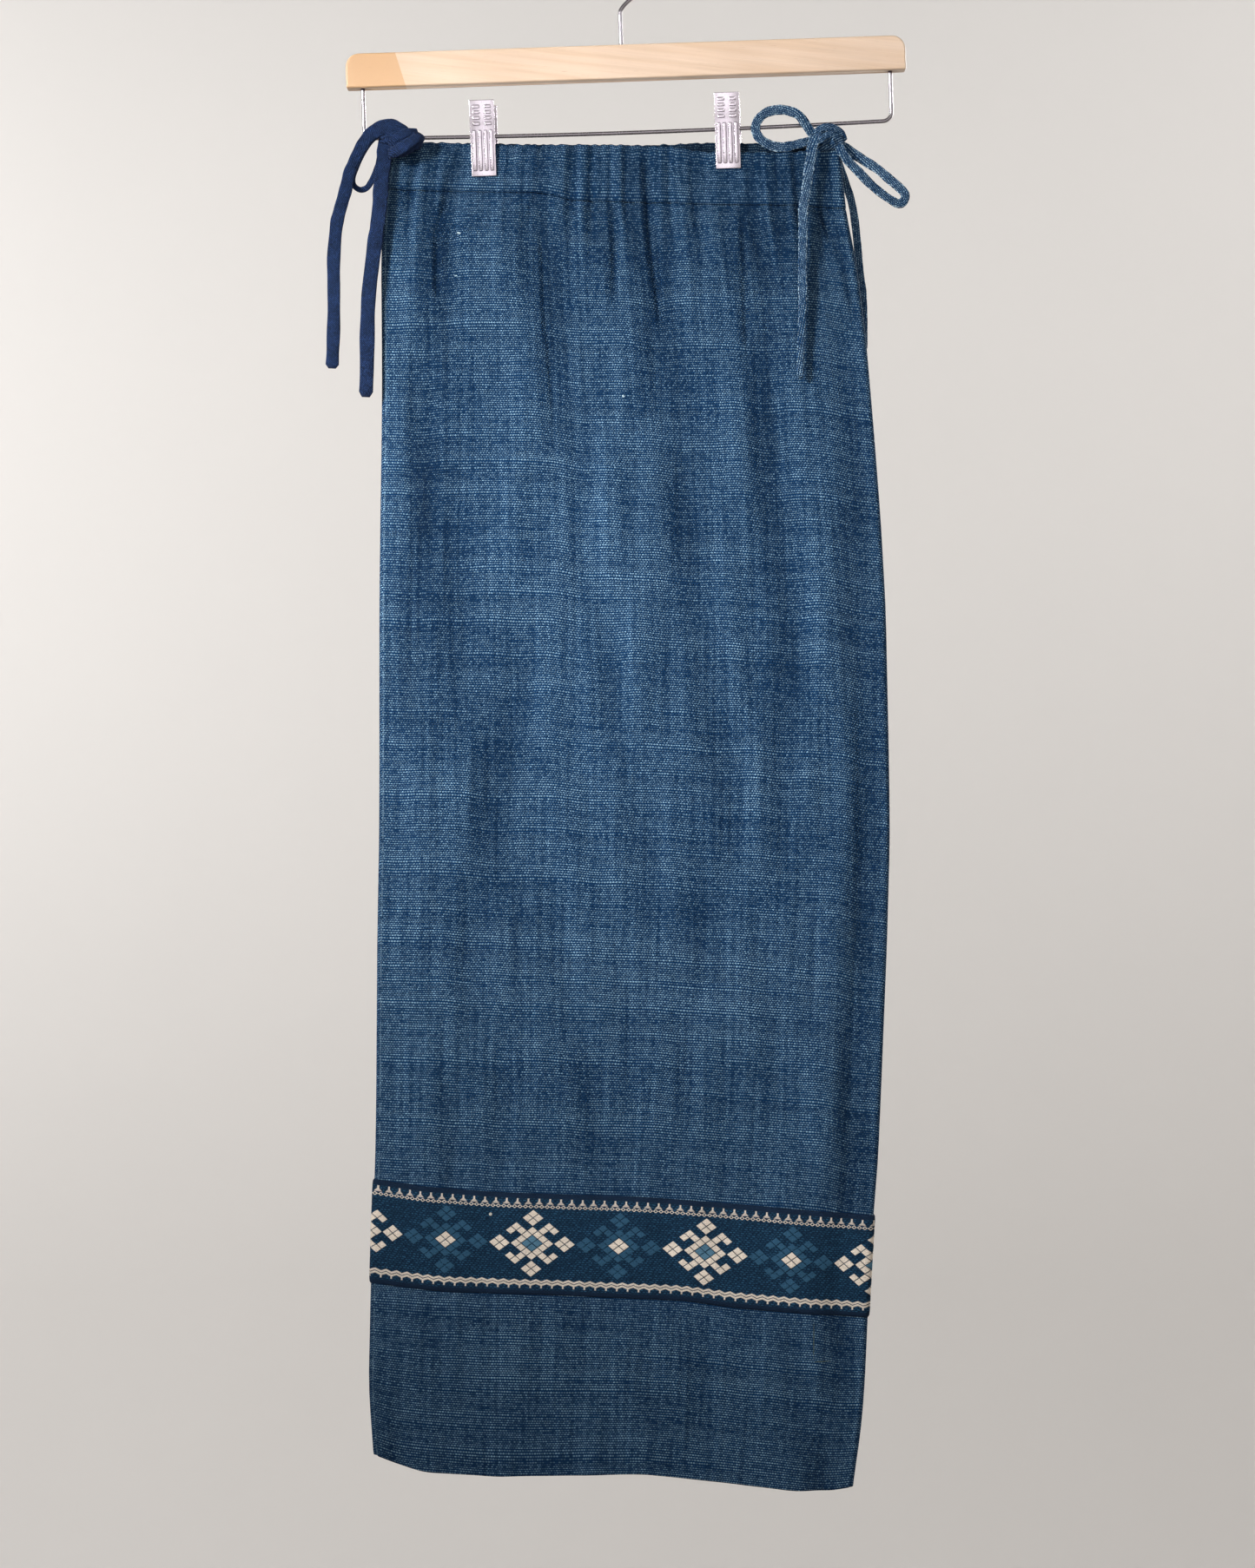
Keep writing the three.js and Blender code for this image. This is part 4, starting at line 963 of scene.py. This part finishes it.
def wire_side(post, inward):
    """One post of the lower wire, from the bar down and round its corner."""
    side_line = [(post, BAR["foot"] + WIRE_SEAT - SEAT_GAP), (post, -100.0)]
    for turned in np.radians(np.linspace(0, 90, 12)):
        across, up = (WIRE["corner"] * (1 - share) for share in (math.cos(turned), math.sin(turned)))
        side_line.append((post + inward * across, WIRE["end"] + up))
    return side_line


frame_line = wire_side(WIRE["left_post"], 1)
frame_line += [(x, wire_height(x)) for x in np.linspace(WIRE["left"], WIRE["right"], 60)[1:-1]]
frame_line += wire_side(WIRE["right_post"], -1)[::-1]
lower_wire = wire_mesh("hanger_lower_wire", [(x, 0, z) for x, z in frame_line], WIRE_DIAMETER)
ride(leaned(lower_wire), ["hanger_frame"], "bright_metal", wire_plating)


def edit_with(kind, parts, wanted):
    """Goes into edit mode with the wanted edges or faces selected."""
    mode("EDIT")
    bpy.ops.mesh.select_mode(type=kind)
    bpy.ops.mesh.select_all(action="DESELECT")
    mode("OBJECT")
    for part in parts:
        part.select = wanted(part)
    mode("EDIT")


def apply_modifiers(piece):
    pick(piece)
    for modifier in list(piece.modifiers):
        bpy.ops.object.modifier_apply(modifier=modifier.name)


def rounded(piece, width, segments, angle=None):
    """Rounds a piece's edges, all of them or those sharper than an angle in degrees."""
    rounding = piece.modifiers.new("rounding", "BEVEL")
    rounding.width, rounding.segments = width * MM, segments
    rounding.limit_method = "ANGLE" if angle else "NONE"
    if angle:
        rounding.angle_limit = math.radians(angle)
    apply_modifiers(piece)


def block(name, low, high, edge):
    """A block from its low to its high corner, its edges rounded by a radius."""
    low, high = Vector(low) * MM, Vector(high) * MM
    bpy.ops.object.select_all(action="DESELECT")
    bpy.ops.mesh.primitive_cube_add(size=1, location=(low + high) / 2, scale=high - low)
    piece = bpy.context.object
    piece.name = name
    bpy.ops.object.transform_apply(location=True, rotation=True, scale=True)
    if edge:
        rounded(piece, edge, 3)
    return piece


def bar_piece():
    """The wooden bar: its upper ends rounded, and drilled for the three wires."""
    half = BAR["depth"] / 2
    bar = block("wooden_bar", (BAR["left"], -half, BAR["foot"]), (BAR["right"], half, BAR["top"]), 0)

    def upper_end(edge):
        a, b = (bar.data.vertices[i].co for i in edge.vertices)
        return min(a.z, b.z) > BAR["top"] * MM - 1e-5 and abs(a.x - b.x) < 1e-5

    edit_with("EDGE", bar.data.edges, upper_end)
    bpy.ops.mesh.bevel(offset=BAR["corner"] * MM, segments=10)
    mode("OBJECT")
    rounded(bar, 1.3, 4, 40)
    for x, mouth in ((0, BAR["top"]), (WIRE["left_post"], BAR["foot"]), (WIRE["right_post"], BAR["foot"])):
        bpy.ops.object.select_all(action="DESELECT")
        bpy.ops.mesh.primitive_cylinder_add(vertices=24, radius=BORE_RADIUS * MM, depth=2 * WIRE_SEAT * MM,
                                            location=(x * MM, 0, mouth * MM))
        drill = bpy.context.object
        bore = bar.modifiers.new("bore", "BOOLEAN")
        bore.object, bore.operation, bore.solver = drill, "DIFFERENCE", "FAST"
        apply_modifiers(bar)
        bpy.data.objects.remove(drill)
    return bar


bar = leaned(bar_piece())
ride(bar, ["hanger_bar"], "bar_wood", pale_wood)
bar.data.shade_smooth()

CLIP_WIDTH, CLIP_METAL, PLATE_START = 16.6, 0.9, 0.6
PLATE_PROFILE = [(22.7, 8.6), (8, 6.2), (0, 4.5), (-14, 3.5), (-24, 2.4), (-27, 2.3)]

# The pressed pattern on a plate, and how deep its pieces sink into the metal
MARK = {"apart": 3.85, "top": 18.6, "pitch": 3.7, "half_wide": 2.3, "half_high": 1.15, "proud": 0.35}
RIB = {"pitch": 3.8, "half_wide": 1.15, "top": 3.0, "foot": -23.4, "proud": 0.55}
SUNK = 0.4
COIL = {"turns": 6, "points": 144, "half_long": 4.2, "radius": 3.4, "wire": 1.2}


def plate_away(z):
    heights, away = np.array(PLATE_PROFILE[::-1], float).T
    return float(np.interp(z, heights, away))


def clip_plate():
    """A pressed plate: eight small oblongs over four long ribs, its face towards -Y."""
    top, away = PLATE_PROFILE[0]
    half = CLIP_WIDTH / 2
    plate = block("plate", (-half, -(away + CLIP_METAL), top - PLATE_START), (half, -away, top), 0)
    edit_with("FACE", plate.data.polygons, lambda face: face.normal.z < -0.9)
    last = (top - PLATE_START, away)
    for z, place in PLATE_PROFILE[1:]:
        bpy.ops.mesh.extrude_region_move(
            TRANSFORM_OT_translate={"value": (0, -(place - last[1]) * MM, (z - last[0]) * MM)})
        last = (z, place)
    mode("OBJECT")
    rounded(plate, 0.3, 3, 50)
    marks = [plate]
    for row in range(4):
        for column in (-1, 1):
            x, z = column * MARK["apart"], MARK["top"] - MARK["pitch"] * row
            face = -(plate_away(z) + CLIP_METAL)
            marks.append(block("mark", (x - MARK["half_wide"], face - MARK["proud"], z - MARK["half_high"]),
                               (x + MARK["half_wide"], face + SUNK, z + MARK["half_high"]), 0.34))
    for number in range(4):
        x = (number - 1.5) * RIB["pitch"]
        rib = block("rib", (x - RIB["half_wide"], -RIB["proud"], RIB["foot"]),
                    (x + RIB["half_wide"], SUNK, RIB["top"]), 0.4)
        mode("EDIT")
        for bend in (0.0, -14.0):
            bpy.ops.mesh.select_all(action="SELECT")
            bpy.ops.mesh.bisect(plane_co=(x * MM, 0, bend * MM), plane_no=(0, 0, 1))
        mode("OBJECT")
        for vertex in rib.data.vertices:
            vertex.co.y -= (plate_away(vertex.co.z / MM) + CLIP_METAL) * MM
        marks.append(rib)
    return joined("plate_pattern", marks)


def spring_line():
    """The coil round the wire, with its two arms up behind the plates."""
    half, radius = COIL["half_long"], COIL["radius"]
    turns = np.linspace(0, COIL["turns"] * 2 * np.pi, COIL["points"] + 1)
    coil = [(-half + 2 * half * i / COIL["points"], -radius * math.cos(t), radius * math.sin(t))
            for i, t in enumerate(turns)]
    return [(-half, -4.0, 12.0), (-half, -3.8, 6.0)] + coil + [(half, -3.8, 6.0), (half, -4.0, 12.0)]


plate_pattern = clip_plate()
for place, x in CLIP_PLACES.items():
    seat = Matrix.Translation(Vector((x, 0, wire_height(x))) * MM)
    for face in ("front", "back"):
        plate = placed(f"{place}_clip_{face}", plate_pattern.data.copy())
        if face == "back":
            plate.data.transform(Matrix.Translation((1.2 * MM, 0, 0)) @ Matrix.Rotation(math.pi, 4, "Z"))
        ride(leaned(plate, seat), [f"clip_{place}_{face}"], "bright_metal", plating)
        plate.data.shade_smooth()
    coil = wire_mesh(f"{place}_clip_spring", spring_line(), COIL["wire"])
    ride(leaned(coil, seat), [f"clip_{place}_spring"], "bright_metal", plating)
bpy.data.objects.remove(plate_pattern)

# ---- room and light


def room():
    """A pale floor that curves up into a pale round wall, open above."""
    finish = Finish("pale paint", 0.9)
    x, y, z = finish.in_space()
    mottled = finish.cloudy((x * 2.0, y * 2.0, z * 2.0), 2.0, 0.5)
    colour = finish.shaded(tone(216, 213, 210), (mottled - 0.5) * 0.03 + 1.0)
    material = finish.finished(colour)
    floor, radius, corner, top = -3.0, 4.4, 1.4, 3.2
    profile = [(0.0, floor), (radius - corner, floor)]
    profile += [(radius - corner + corner * math.sin(a), floor + corner * (1 - math.cos(a)))
                for a in np.radians(np.linspace(9, 90, 10))]
    profile.append((radius, top))
    around = 96
    points = [(0, 0, floor)]
    for r, z_at in profile[1:]:
        points += [(r * math.cos(a), r * math.sin(a), z_at)
                   for a in np.linspace(0, 2 * np.pi, around, endpoint=False)]
    faces = [(0, 1 + i, 1 + (i + 1) % around) for i in range(around)]
    for ring in range(len(profile) - 2):
        a, b = 1 + ring * around, 1 + (ring + 1) * around
        faces += [(a + i, b + i, b + (i + 1) % around, a + (i + 1) % around) for i in range(around)]
    mesh = bpy.data.meshes.new("pale_room")
    mesh.from_pydata(points, [], faces)
    piece = placed("pale_room", mesh)
    mesh.materials.append(material)
    mesh.shade_smooth()


def soft_light(name, place, aim, size, power, spread=180):
    """A round lamp at a place, turned to its aim; the camera doesn't see it."""
    light = bpy.data.lights.new(name, "AREA")
    light.spread = math.radians(spread)
    light.shape, light.size, light.energy = "DISK", size, power
    lamp = placed(name, light)
    lamp.location = place
    lamp.rotation_euler = (Vector(aim) - Vector(place)).to_track_quat("-Z", "Y").to_euler()
    lamp.visible_camera = False


room()
for lamp in (
        ("key", (-1.3, -1.2, 0.15), (0.05, 0, -0.44), 0.45, 3.1, 36),
        ("card", (0.0, -3.4, -0.1), (0, 0, -0.3), 1.6, 8),
        ("hanger light", (0.9, -1.6, 0.6), (0.12, 0, -0.03), 0.4, 0.3, 40),
        ("left wall", (-1.9, 1.9, 0.35), (-1.4, 4.4, -0.2), 2.4, 66),
        ("right wall", (1.9, 1.9, 1.0), (1.4, 4.4, 0.5), 2.4, 36),
        ("back", (1.2, 1.5, 0.2), (0, 0, -0.54), 0.6, 4.5, 60),
        ("right side", (2.2, -0.3, 0.9), (4.2, -0.2, -0.5), 1.0, 22, 150),
        ("left side", (-2.2, -0.3, 0.9), (-4.2, -0.2, -0.5), 1.0, 22, 150),
        ("front side", (0.0, -2.4, 1.3), (0.0, -4.2, -0.4), 1.0, 22, 150),
):
    soft_light(*lamp)
world = bpy.data.worlds.new("soft sky")
bpy.context.scene.world = world
world.use_nodes = True
sky = world.node_tree.nodes["Background"]
sky.inputs["Color"].default_value = (1.0, 0.985, 0.97, 1)
sky.inputs["Strength"].default_value = 0.25
